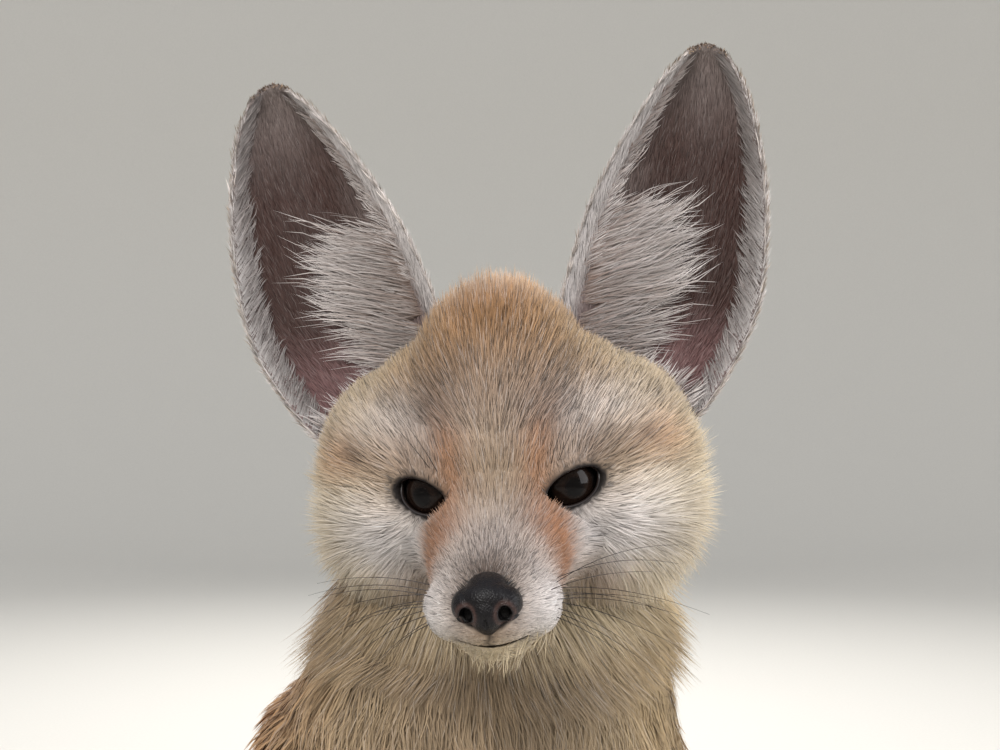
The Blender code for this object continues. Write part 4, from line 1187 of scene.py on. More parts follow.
@dataclass(frozen=True)
class Lie:
    """Which way the hair lies over the fox."""

    placing: Placing
    nose: tuple = (0.0, -0.052, -0.016)

    def head(self, points: Array, outward: Array) -> Array:
        """Hair of the head runs away from the nose, parts round the eyes and droops below the cheeks.

        Args:
            points: places in the frame.
            outward: the skin's direction there.

        Returns:
            A direction along the surface for each.
        """
        h = self.placing.to_head(points)
        way = unit(h - np.asarray(self.nose))
        for side in Side:
            apart = h - EYE_CENTRE * (side.value, 1, 1)
            near = np.exp(-(np.linalg.norm(apart, axis=1) / 0.0135) ** 4)
            way = unit(way * (1 - near[:, None]) + unit(apart) * near[:, None] * 1.4)
        way = way @ self.placing.head.T
        front = blob(h, (0, -0.042, -0.022), (0.014, 0.010, 0.006))
        way = unit(way + self.placing.head[:, 0] * (np.sign(h[:, 0]) * front)[:, None] * 2.0)
        low = ramp(-h[:, 2], 0.004, 0.026) * ramp(h[:, 1], -0.012, 0.014)
        way = unit(way + np.array((0, 0.10, -1.0)) * low[:, None] * 1.5)
        return self.laid(way, outward)

    def body(self, points: Array, outward: Array) -> Array:
        """Hair of the body runs down the neck and chest, back along the trunk and down the legs.

        Args:
            points: places in the frame.
            outward: the skin's direction there.

        Returns:
            A direction along the surface for each.
        """
        f = self.placing.to_fox(points)
        x, y, z = f.T
        rear = ramp(y, -0.020, 0.040)
        aside = 0.10 * np.sign(x) * np.abs(x) / 0.05
        way = np.stack([aside, -0.10 + 0.85 * rear, -1.0 + 0.15 * rear], axis=1)
        leg = (1 - ramp(z, 0.075, 0.105)) * (1 - ramp(y, 0.0, 0.02))
        way = way * (1 - leg[:, None]) + np.array((0, -0.35, -1.0)) * leg[:, None]
        thigh = blob(folded(f), (0.05, 0.07, 0.055), (0.03, 0.05, 0.04))
        way = way + np.array((0, 0.2, -0.7)) * np.minimum(thigh, 1)[:, None]
        return self.laid(unit(way), outward)

    def foot(self, points: Array, outward: Array) -> Array:
        """Hair of a foot runs forward over it to the toes."""
        return self.laid(np.tile((0.0, -1.0, -0.35), (len(points), 1)), outward)

    @staticmethod
    def laid(way: Array, outward: Array) -> Array:
        """Directions turned to lie along the surface."""
        return unit(way - outward * np.sum(way * outward, axis=1, keepdims=True) + outward * 1e-6)


@dataclass
class Hair:
    """What grows from a set of roots: where, which way, how long, how wide and in which colours."""

    roots: Array
    outward: Array
    lie: Array
    places: Array
    length: Array
    width: Array
    lift: Array
    base: Array
    tip: Array
    droop: Array

    def kept(self, mask: Array) -> Hair:
        """Only the hairs that the mask keeps."""
        return Hair(*(getattr(self, name)[mask] for name in self.__dataclass_fields__))

    @classmethod
    def joined(cls, sets: Sequence[Hair]) -> Hair:
        """Several sets as one."""
        return cls(*(np.concatenate([getattr(one, name) for one in sets])
                     for name in cls.__dataclass_fields__))

    def __len__(self) -> int:
        """How many hairs there are."""
        return len(self.roots)


class Coat:
    """Grows tufts of hair and makes pieces of them, each under the limit of triangles."""

    PATCH = 0.003
    FLOOR_GAP = 0.0003
    ROOT_SHARE = 0.035
    TIP_CLEARANCE = 0.13
    MOST_TRIANGLES = 180_000

    def __init__(self, finish: bpy.types.Material, seed: int = 11) -> None:
        """Starts a coat of one finish, with its own seeded random numbers."""
        self.finish = finish
        self.draw = np.random.default_rng(seed)
        self.triangles = 0
        self.skin: BVHTree | None = None

    def cleared(self, hair: Hair) -> None:
        """Lifts the hairs whose tips would lie in the skin, so that they pass over its hollows.

        The tip's height over the nearest skin is found, and the lift grows by what it lacks to be
        TIP_CLEARANCE of the hair's length.

        Args:
            hair: the hairs, whose lift is changed.
        """
        rise = hair.lift - hair.droop
        tips = hair.roots + (hair.lie * 0.9 + hair.outward * rise[:, None]) * hair.length[:, None]
        found = [self.skin.find_nearest(tip)[:2] for tip in tips.tolist()]
        near, out = (np.array(column) for column in zip(*found))
        height = np.sum((tips - near) * out, axis=1) / hair.length
        hair.lift = hair.lift + np.clip(self.TIP_CLEARANCE - height, 0.0, 0.8)

    def clumped(self, hair: Hair, spacing: float, strength: float) -> tuple[Array, Array]:
        """How far each tip is drawn towards the tip of its clump, and the clump's own phase.

        Args:
            hair: the hairs.
            spacing: about how far apart clumps are.
            strength: 0 for none, 1 for tips that meet.

        Returns:
            The offset of each tip, and a number from 0 to 1 for each hair's clump.
        """
        cells = np.round(hair.roots / spacing + self.draw.normal(0, 0.16, hair.roots.shape)).astype(np.int64)
        _, index = np.unique(cells, axis=0, return_inverse=True)
        index = index.ravel()
        count = np.bincount(index).astype(float)
        rise = hair.outward * (hair.length * hair.lift)[:, None] * 0.6
        tips = hair.roots + hair.lie * hair.length[:, None] + rise
        middle = np.stack([np.bincount(index, tips[:, k]) for k in range(3)], axis=1) / count[:, None]
        drawn = (middle[index] - tips) * (strength * self.draw.uniform(0.4, 1.0, len(hair)))[:, None]
        return drawn, self.draw.random(len(count))[index]

    def blades(self, hair: Hair, segments: int, drawn: Array, phase: Array, wave: float) -> tuple:
        """Each hair as a thin curved blade that tapers to a point.

        A station at share t lies at root + L (lie t (1 - 0.1 t) + out (lift t - droop t^2) +
        side wave t sin(2 pi (0.8 t + phase))), and the blade's half width there is W (1 - t^2)^0.5,
        turned about its lie by a random roll.

        Args:
            hair: the hairs.
            segments: stations before the tip.
            drawn: how far each tip is drawn aside, in full at the tip and as t^2 below it.
            phase: where on its wave each hair starts.
            wave: how far hairs swing aside, as a share of their length.

        Returns:
            The surface as triangles, and each point's normal, colour and place on the unwrap.
        """
        count = len(hair)
        t = np.append(np.arange(segments) / segments, 1.0)
        roll = self.draw.normal(0, 0.38, count)[:, None]
        flat = np.cross(hair.lie, hair.outward)
        side = flat * np.cos(roll) + hair.outward * np.sin(roll)
        size = hair.length[:, None]
        ahead = size * (t * (1 - 0.1 * t))
        rise = size * (hair.lift[:, None] * t - hair.droop[:, None] * t ** 2 - self.ROOT_SHARE)
        swing = size * wave * t * np.sin(2 * math.pi * (0.8 * t + phase[:, None]))
        centre = (hair.roots[:, None] + hair.lie[:, None] * ahead[..., None]
                  + hair.outward[:, None] * rise[..., None] + flat[:, None] * swing[..., None]
                  + drawn[:, None] * (t ** 2)[None, :, None])
        half = (hair.width[:, None] * np.sqrt(1 - t[:-1] ** 2) / 2)[..., None] * side[:, None]
        pairs = np.stack([centre[:, :-1] - half, centre[:, :-1] + half], axis=2).reshape(count, -1, 3)
        points = np.concatenate([pairs, centre[:, -1:]], axis=1)
        points[..., 2] = np.maximum(points[..., 2], self.FLOOR_GAP)
        one = []
        for k in range(segments - 1):
            one += [(2 * k, 2 * k + 1, 2 * k + 3), (2 * k, 2 * k + 3, 2 * k + 2)]
        one.append((2 * segments - 2, 2 * segments - 1, 2 * segments))
        total = 2 * segments + 1
        faces = (np.arange(count)[:, None, None] * total + np.array(one)).reshape(-1, 3)
        shares = np.append(np.repeat(t[:-1], 2), 1.0)
        mix = (shares ** 0.9)[None, :, None]
        colour = hair.base[:, None] * (1 - mix) + hair.tip[:, None] * mix
        across = np.append(np.tile([-0.5, 0.5], segments) * np.sqrt(1 - shares[:-1] ** 2), 0.0)
        place = hair.places[:, None] + np.stack([across, shares - 0.5], axis=1)[None] * self.PATCH
        facing = unit(hair.outward * 0.75 + np.cross(side, hair.lie) * 0.45)
        bent = hair.lie[:, None] * (0.30 * shares)[None, :, None]
        normal = unit(np.repeat(facing[:, None], total, axis=1) + bent)
        return ((points.reshape(-1, 3), faces), normal.reshape(-1, 3), colour.reshape(-1, 3),
                place.reshape(-1, 2))

    def grow(self, name: str, hair: Hair, segments: int = 2, spacing: float = 0.004, clumping: float = 0.0,
             wave: float = 0.0, slot: str = "sandy_fur") -> None:
        """Makes the pieces of one zone of the coat.

        Args:
            name: the zone's name.
            hair: its hairs.
            segments: stations of a blade before its tip.
            spacing: how far apart clumps are.
            clumping: how strongly tips are drawn together.
            wave: how far hairs swing aside, as a share of their length.
            slot: the paint slot; not used.
        """
        self.cleared(hair)
        drawn, phase = self.clumped(hair, spacing, clumping)
        tone = (1 + spacing * 40 * (phase - 0.5))[:, None]
        hair.base, hair.tip = hair.base * tone, hair.tip * tone
        each = 2 * segments - 1
        parts = max(1, math.ceil(len(hair) * each / self.MOST_TRIANGLES))
        for k, chosen in enumerate(np.array_split(np.arange(len(hair)), parts)):
            surface, normal, colour, place = self.blades(hair.kept(chosen), segments, drawn[chosen],
                                                         phase[chosen], wave)
            mesh = raw_mesh(name, surface)
            mesh.normals_split_custom_set_from_vertices(normal)
            paint_points(mesh, colour)
            layer = mesh.uv_layers.new(name="OFBake")
            layer.data.foreach_set("uv", place[surface[1].ravel()].astype(np.float32).ravel())
            piece = linked(name if parts == 1 else f"{name}_{k + 1}", mesh)
            declared(piece, self.finish)
            self.triangles += len(surface[1])
        LOG.info("%s: %d tufts", name, len(hair))


def paint_points(mesh: bpy.types.Mesh, colour: Array) -> None:
    """Stores a colour for each point of a mesh, as the attribute that the finishes read."""
    layer = mesh.color_attributes.new("marking", "FLOAT_COLOR", "POINT")
    full = np.column_stack([np.clip(colour, 0, 1), np.ones(len(colour))]).astype(np.float32)
    layer.data.foreach_set("color", full.ravel())


def declared(piece: bpy.types.Object, finish: bpy.types.Material,
             nodes: Sequence[str] = ()) -> bpy.types.Object:
    """Gives a piece its finish and sets it on the fox's one body.

    Args:
        piece: the piece.
        finish: its one material.
        nodes: the nodes that it stands for.

    Returns:
        The piece.
    """
    piece.data.materials.clear()
    piece.data.materials.append(finish)
    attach(piece, "root")
    if nodes:
        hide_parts(*nodes)
    LOG.info("%s: %d faces", piece.name, len(piece.data.polygons))
    return piece


class Value:
    """A socket in a shader's maths, so that an expression on it adds its Math nodes."""

    def __init__(self, tree: Shader, socket: bpy.types.NodeSocket) -> None:
        """Wraps a socket of a shader."""
        self.tree = tree
        self.socket = socket

    def math(self, operation: str, *others: Value | float) -> Value:
        """The result of one Math node on this value and the others."""
        inputs = {0: self, **dict(enumerate(others, 1))}
        return self.tree.node("ShaderNodeMath", {"operation": operation}, inputs)

    def __add__(self, other: Value | float) -> Value:
        """The sum of the two."""
        return self.math("ADD", other)

    __radd__ = __add__

    def __mul__(self, other: Value | float) -> Value:
        """The product of the two."""
        return self.math("MULTIPLY", other)

    __rmul__ = __mul__

    def __sub__(self, other: Value | float) -> Value:
        """This value less the other."""
        return self.math("SUBTRACT", other)

    def __rsub__(self, other: Value | float) -> Value:
        """The other less this value."""
        return self.tree.node("ShaderNodeMath", {"operation": "SUBTRACT"}, {0: other, 1: self})


class Shader:
    """One material's nodes."""

    def __init__(self, name: str, constants: dict[str, float]) -> None:
        """Starts a material, with the sockets of its surface that hold one number each.

        Args:
            name: the material's name.
            constants: the number for each socket.
        """
        self.material = bpy.data.materials.new(name)
        self.material.use_nodes = True
        self.tree = self.material.node_tree
        self.surface = self.tree.nodes["Principled BSDF"]
        for socket, value in constants.items():
            self.surface.inputs[socket].default_value = value

    def node(self, kind: str, settings: dict, inputs: dict, output: str | int = 0) -> Value:
        """Adds one node.

        Args:
            kind: the node's type.
            settings: its properties, set first; a ramp's stops are given as "stops".
            inputs: values or links of its sockets, by name or number.
            output: the socket to return.

        Returns:
            The chosen output.
        """
        made = self.tree.nodes.new(kind)
        for key, value in settings.items():
            if key == "stops":
                elements = made.color_ramp.elements
                while len(elements) < len(value):
                    elements.new(0.5)
                for element, (place, colour) in zip(elements, value):
                    element.position, element.color = place, (*colour, 1)
            else:
                setattr(made, key, value)
        for key, value in inputs.items():
            if isinstance(value, Value):
                self.tree.links.new(value.socket, made.inputs[key])
            else:
                made.inputs[key].default_value = value
        return Value(self, made.outputs[output])

    def feed(self, socket: str, value: Value) -> None:
        """Links a value to the surface."""
        self.tree.links.new(value.socket, self.surface.inputs[socket])

    def marking(self) -> Value:
        """The colour stored on the mesh."""
        return self.node("ShaderNodeVertexColor", {"layer_name": "marking"}, {}, "Color")

    def place(self) -> Value:
        """Object coordinates."""
        return self.node("ShaderNodeTexCoord", {}, {}, "Object")

    def noise(self, scale: float, detail: float) -> Value:
        """Noise over Object coordinates."""
        inputs = {"Vector": self.place(), "Scale": scale, "Detail": detail}
        return self.node("ShaderNodeTexNoise", {}, inputs, "Fac")

    def tinted(self, colour: Value | Sequence[float], by: Value, dark: float, light: float) -> Value:
        """A colour multiplied by a grey that runs from dark to light with by."""
        stops = ((0.25, (dark,) * 3), (0.75, (light,) * 3))
        grey = self.node("ShaderNodeValToRGB", {"stops": stops}, {"Fac": by}, "Color")
        return self.node("ShaderNodeMix", {"data_type": "RGBA", "blend_type": "MULTIPLY"},
                         {0: 1.0, 6: colour, 7: grey}, 2)

    def bump(self, height: Value, strength: float, distance: float) -> None:
        """Raises the surface by a height."""
        inputs = {"Height": height, "Strength": strength, "Distance": distance}
        self.feed("Normal", self.node("ShaderNodeBump", {}, inputs, "Normal"))


@dataclass(frozen=True)
class Finish:
    """A finish in the mesh's own markings, or in one colour, with a fine grain.

    The colour is multiplied by a grey from dark to light, which follows noise of the grain's scale
    and detail. Relief is the strength and the distance of the bump that the grain makes.
    """

    name: str
    roughness: float
    grain: float
    dark: float = 0.85
    light: float = 1.1
    detail: float = 3.0
    colour: Array | None = None
    relief: tuple[float, ...] = ()
    constants: dict[str, float] = field(default_factory=dict)

    def make(self) -> bpy.types.Material:
        """The finish as a material."""
        shader = Shader(self.name, {"Roughness": self.roughness, **self.constants})
        grain = shader.noise(self.grain, self.detail)
        colour = shader.marking() if self.colour is None else (*self.colour, 1.0)
        shader.feed("Base Color", shader.tinted(colour, grain, self.dark, self.light))
        self.raised(shader, grain)
        return shader.material

    def raised(self, shader: Shader, grain: Value) -> None:
        """Raises the surface by its grain."""
        if self.relief:
            shader.bump(grain, *self.relief)


@dataclass(frozen=True)
class PebbledFinish(Finish):
    """A finish of small raised cells, shinier on their tops than in the clefts between them."""

    cells: float = 1500.0
    cleft: float = 0.28
    cleft_roughness: float = 0.42
    shine: float = 0.25

    def raised(self, shader: Shader, grain: Value) -> None:
        """Raises each cell by the distance to its edge, up to that of its flat top."""
        edge = shader.node("ShaderNodeTexVoronoi", {"feature": "DISTANCE_TO_EDGE"},
                           {"Vector": shader.place(), "Scale": self.cells}, "Distance")
        shader.feed("Roughness", edge * -self.shine + self.cleft_roughness)
        shader.bump(edge.math("MINIMUM", self.cleft), *self.relief)


GLOSS = "Specular IOR Level"
COAT_HAIR = Finish("coat hair", 0.62, 90.0, 0.93, 1.04, 2.0,
                   constants={GLOSS: 0.32, "Sheen Weight": 0.10, "Sheen Roughness": 0.45})
DOWNY_SKIN = Finish("downy skin", 0.75, 900.0, 0.70, 1.0, 4.0, relief=(0.5, 0.0004), constants={GLOSS: 0.25})
NOSE_LEATHER = PebbledFinish("nose leather", 0.36, 700.0, 0.75, 1.15, relief=(0.55, 0.00035),
                             constants={GLOSS: 0.24})
WET_EYE = Finish("wet eye", 0.10, 2600.0, 0.6, 1.25, 5.0,
                 constants={"Coat Weight": 0.14, "Coat Roughness": 0.02, GLOSS: 0.06})
LID_MARGIN = Finish("lid margin", 0.28, 900.0, colour=paint(34, 26, 24))
WHISKER = Finish("whisker", 0.35, 400.0, colour=paint(30, 24, 22))
CLAW_HORN = Finish("claw horn", 0.35, 500.0, colour=paint(66, 50, 40))
PALE_FLOOR = Finish("pale floor", 0.9, 420.0, 0.96, 1.0, 2.0, paint(214, 211, 205), (0.10, 0.0003),
                    {GLOSS: 0.2})


@dataclass(frozen=True)
class Sweep:
    """One set of an ear's fringe: so many hairs of a size, and where on the ear they root.

    They root from low to high up the ear, and up to spread from start across it, to the side that
    reach gives. Reach is also the way they sweep, 1 to the outer edge and -1 to the inner one.
    """

    count: int
    low: float
    high: float
    start: float
    spread: float
    reach: float
    size: float

    @property
    def is_long(self) -> bool:
        """Whether these are the long hairs, which stand in wisps."""
        return self.size > 0.015


FRINGE = (Sweep(6400, 0.05, 0.56, 0.08, 0.24, 1.0, 0.0215),
          Sweep(1900, 0.10, 0.97, 0.980, 0.06, -1.0, 0.0078),
          Sweep(700, 0.40, 0.94, 0.06, 0.06, 1.0, 0.0070),
          Sweep(1200, 0.03, 0.15, 0.12, 0.80, 1.0, 0.0140))


class Fox:
    """The whole fox: skin, coat, eyes, nose, whiskers and claws."""

    FLESH = ("head", "lower_jaw", "neck", "chest", "torso", "hips", "tail_base", "tail_middle", "tail_tip")
    PAIRED_FLESH = ("ear", "foreleg", "forepaw", "thigh", "hindfoot")

    def __init__(self) -> None:
        """Places the fox by the frame and prepares its parts."""
        self.placing = Placing.from_frame()
        self.markings = Markings(self.placing)
        self.lie = Lie(self.placing)
        self.head = Head(self.placing)
        self.body = Body(self.placing)
        self.feet = [Foot(self.placing, side, hind) for hind in (False, True) for side in Side]
        self.ears = {side: Ear(self.placing, side) for side in Side}
        self.coat = Coat(COAT_HAIR.make())
        self.sheets: dict[str, Sheet] = {}

    def skin(self) -> bpy.types.Object:
        """The one skin, which stands for every node of flesh, with its markings and its unwrap."""
        forms = {"head": self.head.build(), "body": self.body.build()}
        for k, foot in enumerate(self.feet):
            forms[f"foot_{k}"] = foot.build()
        for side, ear in self.ears.items():
            forms["ear_" + side.word] = ear.build()
        counts = {name: len(form.data.polygons) for name, form in forms.items()}
        with bpy.context.temp_override(active_object=forms["head"], object=forms["head"],
                                       selected_objects=list(forms.values()),
                                       selected_editable_objects=list(forms.values())):
            bpy.ops.object.join()
        whole = forms["head"]
        whole.name = whole.data.name = "fox_skin"
        self.unwrap(whole)
        smoothed(whole.data)
        sheet = Sheet.of(whole)
        triangle_faces = np.empty(len(whole.data.loop_triangles), np.int32)
        whole.data.loop_triangles.foreach_get("polygon_index", triangle_faces)
        ends = np.cumsum(list(counts.values()))
        owner = np.searchsorted(ends, triangle_faces, side="right")
        for k, name in enumerate(counts):
            self.sheets[name] = sheet.kept(owner == k)
        self.mark(whole, sheet)
        nodes = list(self.FLESH) + [f"{part}_{side.word}" for part in self.PAIRED_FLESH for side in Side]
        return declared(whole, DOWNY_SKIN.make(), nodes)

    def unwrap(self, piece: bpy.types.Object) -> None:
        """Unwraps a piece's own shape into islands.

        Args:
            piece: the piece.
        """
        bpy.context.view_layer.objects.active = piece
        piece.select_set(True)
        bpy.ops.object.mode_set(mode="EDIT")
        bpy.ops.mesh.select_all(action="SELECT")
        bpy.ops.uv.smart_project(angle_limit=math.radians(66), island_margin=0.002)
        bpy.ops.object.mode_set(mode="OBJECT")
        piece.select_set(False)
        piece.data.uv_layers.active.name = "OFBake"

    def mark(self, piece: bpy.types.Object, sheet: Sheet) -> None:
        """Paints the skin with the coat's markings, darker all over as painted shade under the coat.

        Args:
            piece: the skin's object.
            sheet: the whole skin as a sheet.
        """
        points = sheet.points
        colour = self.markings.body(points)
        head = np.zeros(len(points), bool)
        head[np.unique(self.sheets["head"].triangles)] = True
        colour[head] = self.markings.head(points[head])
        share, near = self.tail_place(points)
        tail = near < TAIL_FLESH_REACH
        colour[tail] = self.markings.tail(points[tail], share[tail])
        for side in Side:
            own = np.unique(self.sheets["ear_" + side.word].triangles)
            u, v, front = self.ear_place(side, points[own], sheet.normals[own])
            colour[own] = np.where(front[:, None], self.markings.cup(u, v), self.markings.ear_back(u, v))
        # The skin is painted darker than its markings as painted shade under the coat: 0.60 of them on the
        # body, 0.80 on the head and 0.72 on the ears and feet.
        under = np.full(len(points), 0.60)
        under[head] = 0.80
        for name, sheet_ in self.sheets.items():
            if name.startswith(("ear", "foot")):
                under[np.unique(sheet_.triangles)] = 0.72
        paint_points(piece.data, colour * under[:, None])

    def tail_place(self, points: Array) -> tuple[Array, Array]:
        """How far along the tail each point lies, 0 to 1, and its distance from the tail's line."""
        index, apart = nearest(self.body.tail_stations(), points)
        return index / (TAIL_STATIONS - 1), apart

    def ear_place(self, side: Side, points: Array, outward: Array) -> tuple[Array, Array, Array]:
        """Where points of an ear lie on its sheet, u and v, and whether they are inside the cup.

        Args:
            side: which ear.
            points: places in the frame.
            outward: the skin's direction there.

        Returns:
            The u, the v and whether it is inside, for each.
        """
        ear = self.ears[side]
        u, v, front, _ = ear.grids()
        index, _ = nearest(front.reshape(-1, 3), points)
        u, v = u.ravel()[index], v.ravel()[index]
        return u, v, np.sum(ear.normals(u, v) * outward, axis=1) > 0

    def mottle(self, points: Array) -> Array:
        """An uneven field from -1 to 1: the mean of sines of place along three skew directions."""
        ways = np.array(((310.0, 170, -240), (-220, 360, 150), (130, -190, 400), (520, 260, 330)))
        return np.sin(points @ ways.T + np.array((0.3, 1.9, 4.1, 2.7))).mean(axis=1) * 1.6

    def variety(self, colour: Array, spread: float) -> Array:
        """Colours made a little lighter or darker, each tuft its own way."""
        return np.clip(colour * np.exp(self.coat.draw.normal(0, spread, len(colour)))[:, None], 0, 1)

    def hair(self, sheet: Sheet, density: Array | float, colours: Callable[[Array], Array],
             lie: Callable[[Array, Array], Array], length: Setting, width: float, lift: float, droop: float,
             ticking: Setting = 0.0, bare: Callable[[Array], Array] | None = None) -> Hair:
        """Hairs of one zone.

        Args:
            sheet: the skin that they grow from.
            density: roots a square metre, one number or one for each triangle.
            colours: the colour at a point.
            lie: the direction at a point with its outward direction.
            length: the length, or a function of place that gives it.
            width: the width of a tuft at its root.
            lift: how steeply tufts rise from the skin.
            droop: how much they bend back to it.
            ticking: the share of dark tufts, or a function of place that gives it.
            bare: which roots to leave out.

        Returns:
            The hairs.
        """
        draw = self.coat.draw
        roots, outward, places = sheet.scatter(draw, density)
        if bare is not None:
            keep = ~bare(roots)
            roots, outward, places = roots[keep], outward[keep], places[keep]
        count = len(roots)
        way = lie(roots, outward)
        way = unit(way + np.cross(outward, way) * draw.normal(0, 0.16, (count, 1)))
        colour = colours(roots) * (1 + 0.10 * self.mottle(roots))[:, None]
        tip = self.variety(colour, 0.15)
        pale = draw.random(count) < 0.14
        tip[pale] = tip[pale] * 0.65 + self.markings.palette.white * 0.30
        # Each tuft's root is painted darker than its tip, less so in pale zones: painted shade deep in the
        # coat.
        base = self.variety(colour * (0.46 + 0.30 * colour.mean(axis=1, keepdims=True)), 0.12)
        dark = draw.random(count) < at(ticking, roots)
        tip[dark] *= 0.34
        base[dark] *= 0.60
        size = at(length, roots) * draw.uniform(0.72, 1.18, count)
        return Hair(roots, outward, way, places, size, width * draw.uniform(0.7, 1.3, count),
                    lift * draw.uniform(0.6, 1.4, count), base, tip, droop * draw.uniform(0.7, 1.3, count))

    def face_coat(self) -> None:
        """The short dense hair of the face and head, finest on the muzzle."""
        sheet = self.sheets["head"]
        middles = sheet.middles()
        above = (self.placing.to_fox(middles) - COLLAR_PLACE) @ COLLAR_WAY > -0.004
        sheet = sheet.kept(above)
        h = self.placing.to_head(sheet.middles())
        muzzle = ramp(-h[:, 1], 0.004, 0.020)
        seen = np.clip(1.1 - 28 * np.maximum(h[:, 1] - 0.014, 0), 0.24, 1.0)
        density = (6.9e6 + 5.0e6 * muzzle) * seen

        def length(points: Array) -> Array:
            """Longer on the crown, cheeks and throat, and shorter to the muzzle, lips and eyes.

            Args:
                points: places in the frame.

            Returns:
                A length for each.
            """
            q = self.placing.to_head(points)
            x = np.abs(q[:, 0])
            long = 0.0086 + 0.0012 * ramp(q[:, 2], 0.015, 0.040) + 0.0020 * self.crest(q)
            ear_foot = np.exp(-0.5 * (((x - 0.030) / 0.010) ** 2 + ((q[:, 2] - 0.026) / 0.010) ** 2))
            long = long - 0.0012 * ear_foot
            long = long + 0.0100 * ramp(x, 0.026, 0.046) * ramp(-q[:, 2], -0.012, 0.018)
            long = long + 0.0090 * ramp(-q[:, 2], 0.016, 0.030) * ramp(q[:, 1], -0.010, 0.012)
            long = long + 0.0050 * ramp(q[:, 1], 0.022, 0.044) * ramp(x, 0.018, 0.032)
            short = 0.0028 + 0.0034 * ramp(q[:, 1], -0.036, -0.010)
            muzzle_share = ramp(-q[:, 1], -0.004, 0.010)
            long = long * (1 - muzzle_share) + short * muzzle_share
            seam = np.abs(q[:, 2] - mouth_height(q[:, 0], q[:, 1]))
            lip = (1 - ramp(seam, 0.0020, 0.0042)) * ramp(-q[:, 1], 0.018, 0.026)
            under_nose = blob(q, (0, -0.040, -0.0225), (0.007, 0.006, 0.0035))
            long = long * (1 - 0.65 * np.maximum(lip, under_nose))
            for side in Side:
                eye = EYE_CENTRE * (side.value, 1, 1)
                back = unit(q - np.asarray(self.lie.nose))
                towards = np.clip(np.sum(unit(eye - q) * back, axis=1) * 1.6, 0, 1)
                far = ramp(np.linalg.norm(q - eye, axis=1), 0.014, 0.030)
                slit = self.markings.in_slit(q * (side.value, 1, 1)) + 9 * far
                near = 1 - ramp(slit, 1.15, 1.60 + 1.5 * towards)
                long = long * (1 - near) + 0.0016 * near
            return long

        def bare(points: Array) -> Array:
            """Whether a place is in the lids' opening, the mouth, the nose or the groove below it.

            Args:
                points: places in the frame.

            Returns:
                True where no hair grows.
            """
            q = self.placing.to_head(points)
            fold = folded(q)
            lids = (self.markings.in_slit(fold) < 1.16) & (np.linalg.norm(fold - EYE_CENTRE, axis=1) < 0.0125)
            half = np.interp(fold[:, 0], [0, 0.010], [0.0013, 0.0002])
            mouth = np.abs(q[:, 2] - mouth_height(q[:, 0], q[:, 1])) < half
            mouth &= q[:, 1] < -0.016
            pad = np.sum(((q - (0, -0.0400, -0.0150)) / (0.0070, 0.0060, 0.0060)) ** 2, axis=1) < 1
            parting = (fold[:, 0] < 0.0005) & (q[:, 1] < -0.036) & (q[:, 2] < -0.018)
            return lids | mouth | pad | parting

        hair = self.hair(sheet, density, self.markings.head, self.lie.head, length,
                         0.00024, 0.30, 0.12, self.markings.ticked, bare)
        q = self.placing.to_head(hair.roots)
        rear = ramp(q[:, 1], 0.020, 0.050)
        # The painted shade at the roots is weaker towards the back of the head.
        hair.base = hair.base * (1 + 0.5 * rear)[:, None]
        rear = 1 + 0.9 * rear
        hair.width = hair.width * (0.75 + 0.25 * ramp(q[:, 1], -0.030, 0.010)) * rear
        hair.lift = hair.lift * (1 + 0.6 * ramp(hair.length, 0.010, 0.016)) + 0.17 * self.crest(q)
        self.coat.grow("face_coat", hair, 2, 0.0028, 0.38)
        self.chin_hair()

    @staticmethod
    def crest(places: Array) -> Array:
        """How far a place in the head's axes belongs to the raised hair of the crown, 0 to 1."""
        return blob(places, (0, 0.026, 0.046), (0.016, 0.012, 0.010))

    def chin_hair(self) -> None:
        """The pale hairs that hang from the chin and jaw."""
        sheet = self.sheets["head"]
        h = self.placing.to_head(sheet.middles())
        sheet = sheet.kept((h[:, 2] < -0.0225) & (h[:, 1] < -0.002) & (h[:, 1] > -0.036))

        def down(points: Array, outward: Array) -> Array:
            """Down and a little back, off the skin."""
            return unit(Lie.laid(np.tile((0.0, 0.35, -1.0), (len(points), 1)), outward) + outward * 0.25)

        cream = self.markings.palette.cream
        hair = self.hair(sheet, 0.45e6, lambda p: np.tile(cream, (len(p), 1)), down, 0.0075,
                         0.00018, 0.25, 0.15)
        self.coat.grow("chin_hair", hair, 3, 0.0020, 0.35, 0.04, "pale_fur")

    def ruff_coat(self) -> None:
        """The long soft hair of the neck and chest, in locks."""
        sheet = self.sheets["body"]
        f = self.placing.to_fox(sheet.middles())
        _, near = self.tail_place(sheet.middles())
        high = (f[:, 2] > RUFF_LOW) & (f[:, 1] < RUFF_REAR) & (near > 0.03)
        under = (f - COLLAR_PLACE) @ COLLAR_WAY < 0.009
        sheet = sheet.kept(high & under)
        f = self.placing.to_fox(sheet.middles())
        fore = ramp(-f[:, 1], 0.000, 0.025) * ramp(f[:, 2], 0.115, 0.140)
        density = 0.75e6 + 2.65e6 * fore

        def length(points: Array) -> Array:
            """Longest on the chest, and shorter under the head."""
            q = self.placing.to_fox(points)
            front = ramp(-q[:, 1], -0.020, 0.020)
            return 0.015 + 0.012 * front * ramp(q[:, 2], 0.080, 0.120) - 0.003 * ramp(q[:, 2], 0.20, 0.22)

        hair = self.hair(sheet, density, self.markings.body, self.lie.body, length,
                         0.00080, 0.34, 0.18, 0.01)
        q = self.placing.to_fox(hair.roots)
        hair.width = hair.width * (1 - 0.60 * ramp(-q[:, 1], 0.000, 0.025) * ramp(q[:, 2], 0.115, 0.140))
        hair.tip = hair.tip * 0.5 + self.markings.body(hair.roots) * 0.5
        # The painted shade at the ruff's roots is weakened by blending them towards the tips.
        hair.base = hair.base * 0.35 + hair.tip * 0.50
        self.coat.grow("ruff_coat", hair, 3, 0.0085, 0.62, 0.07)

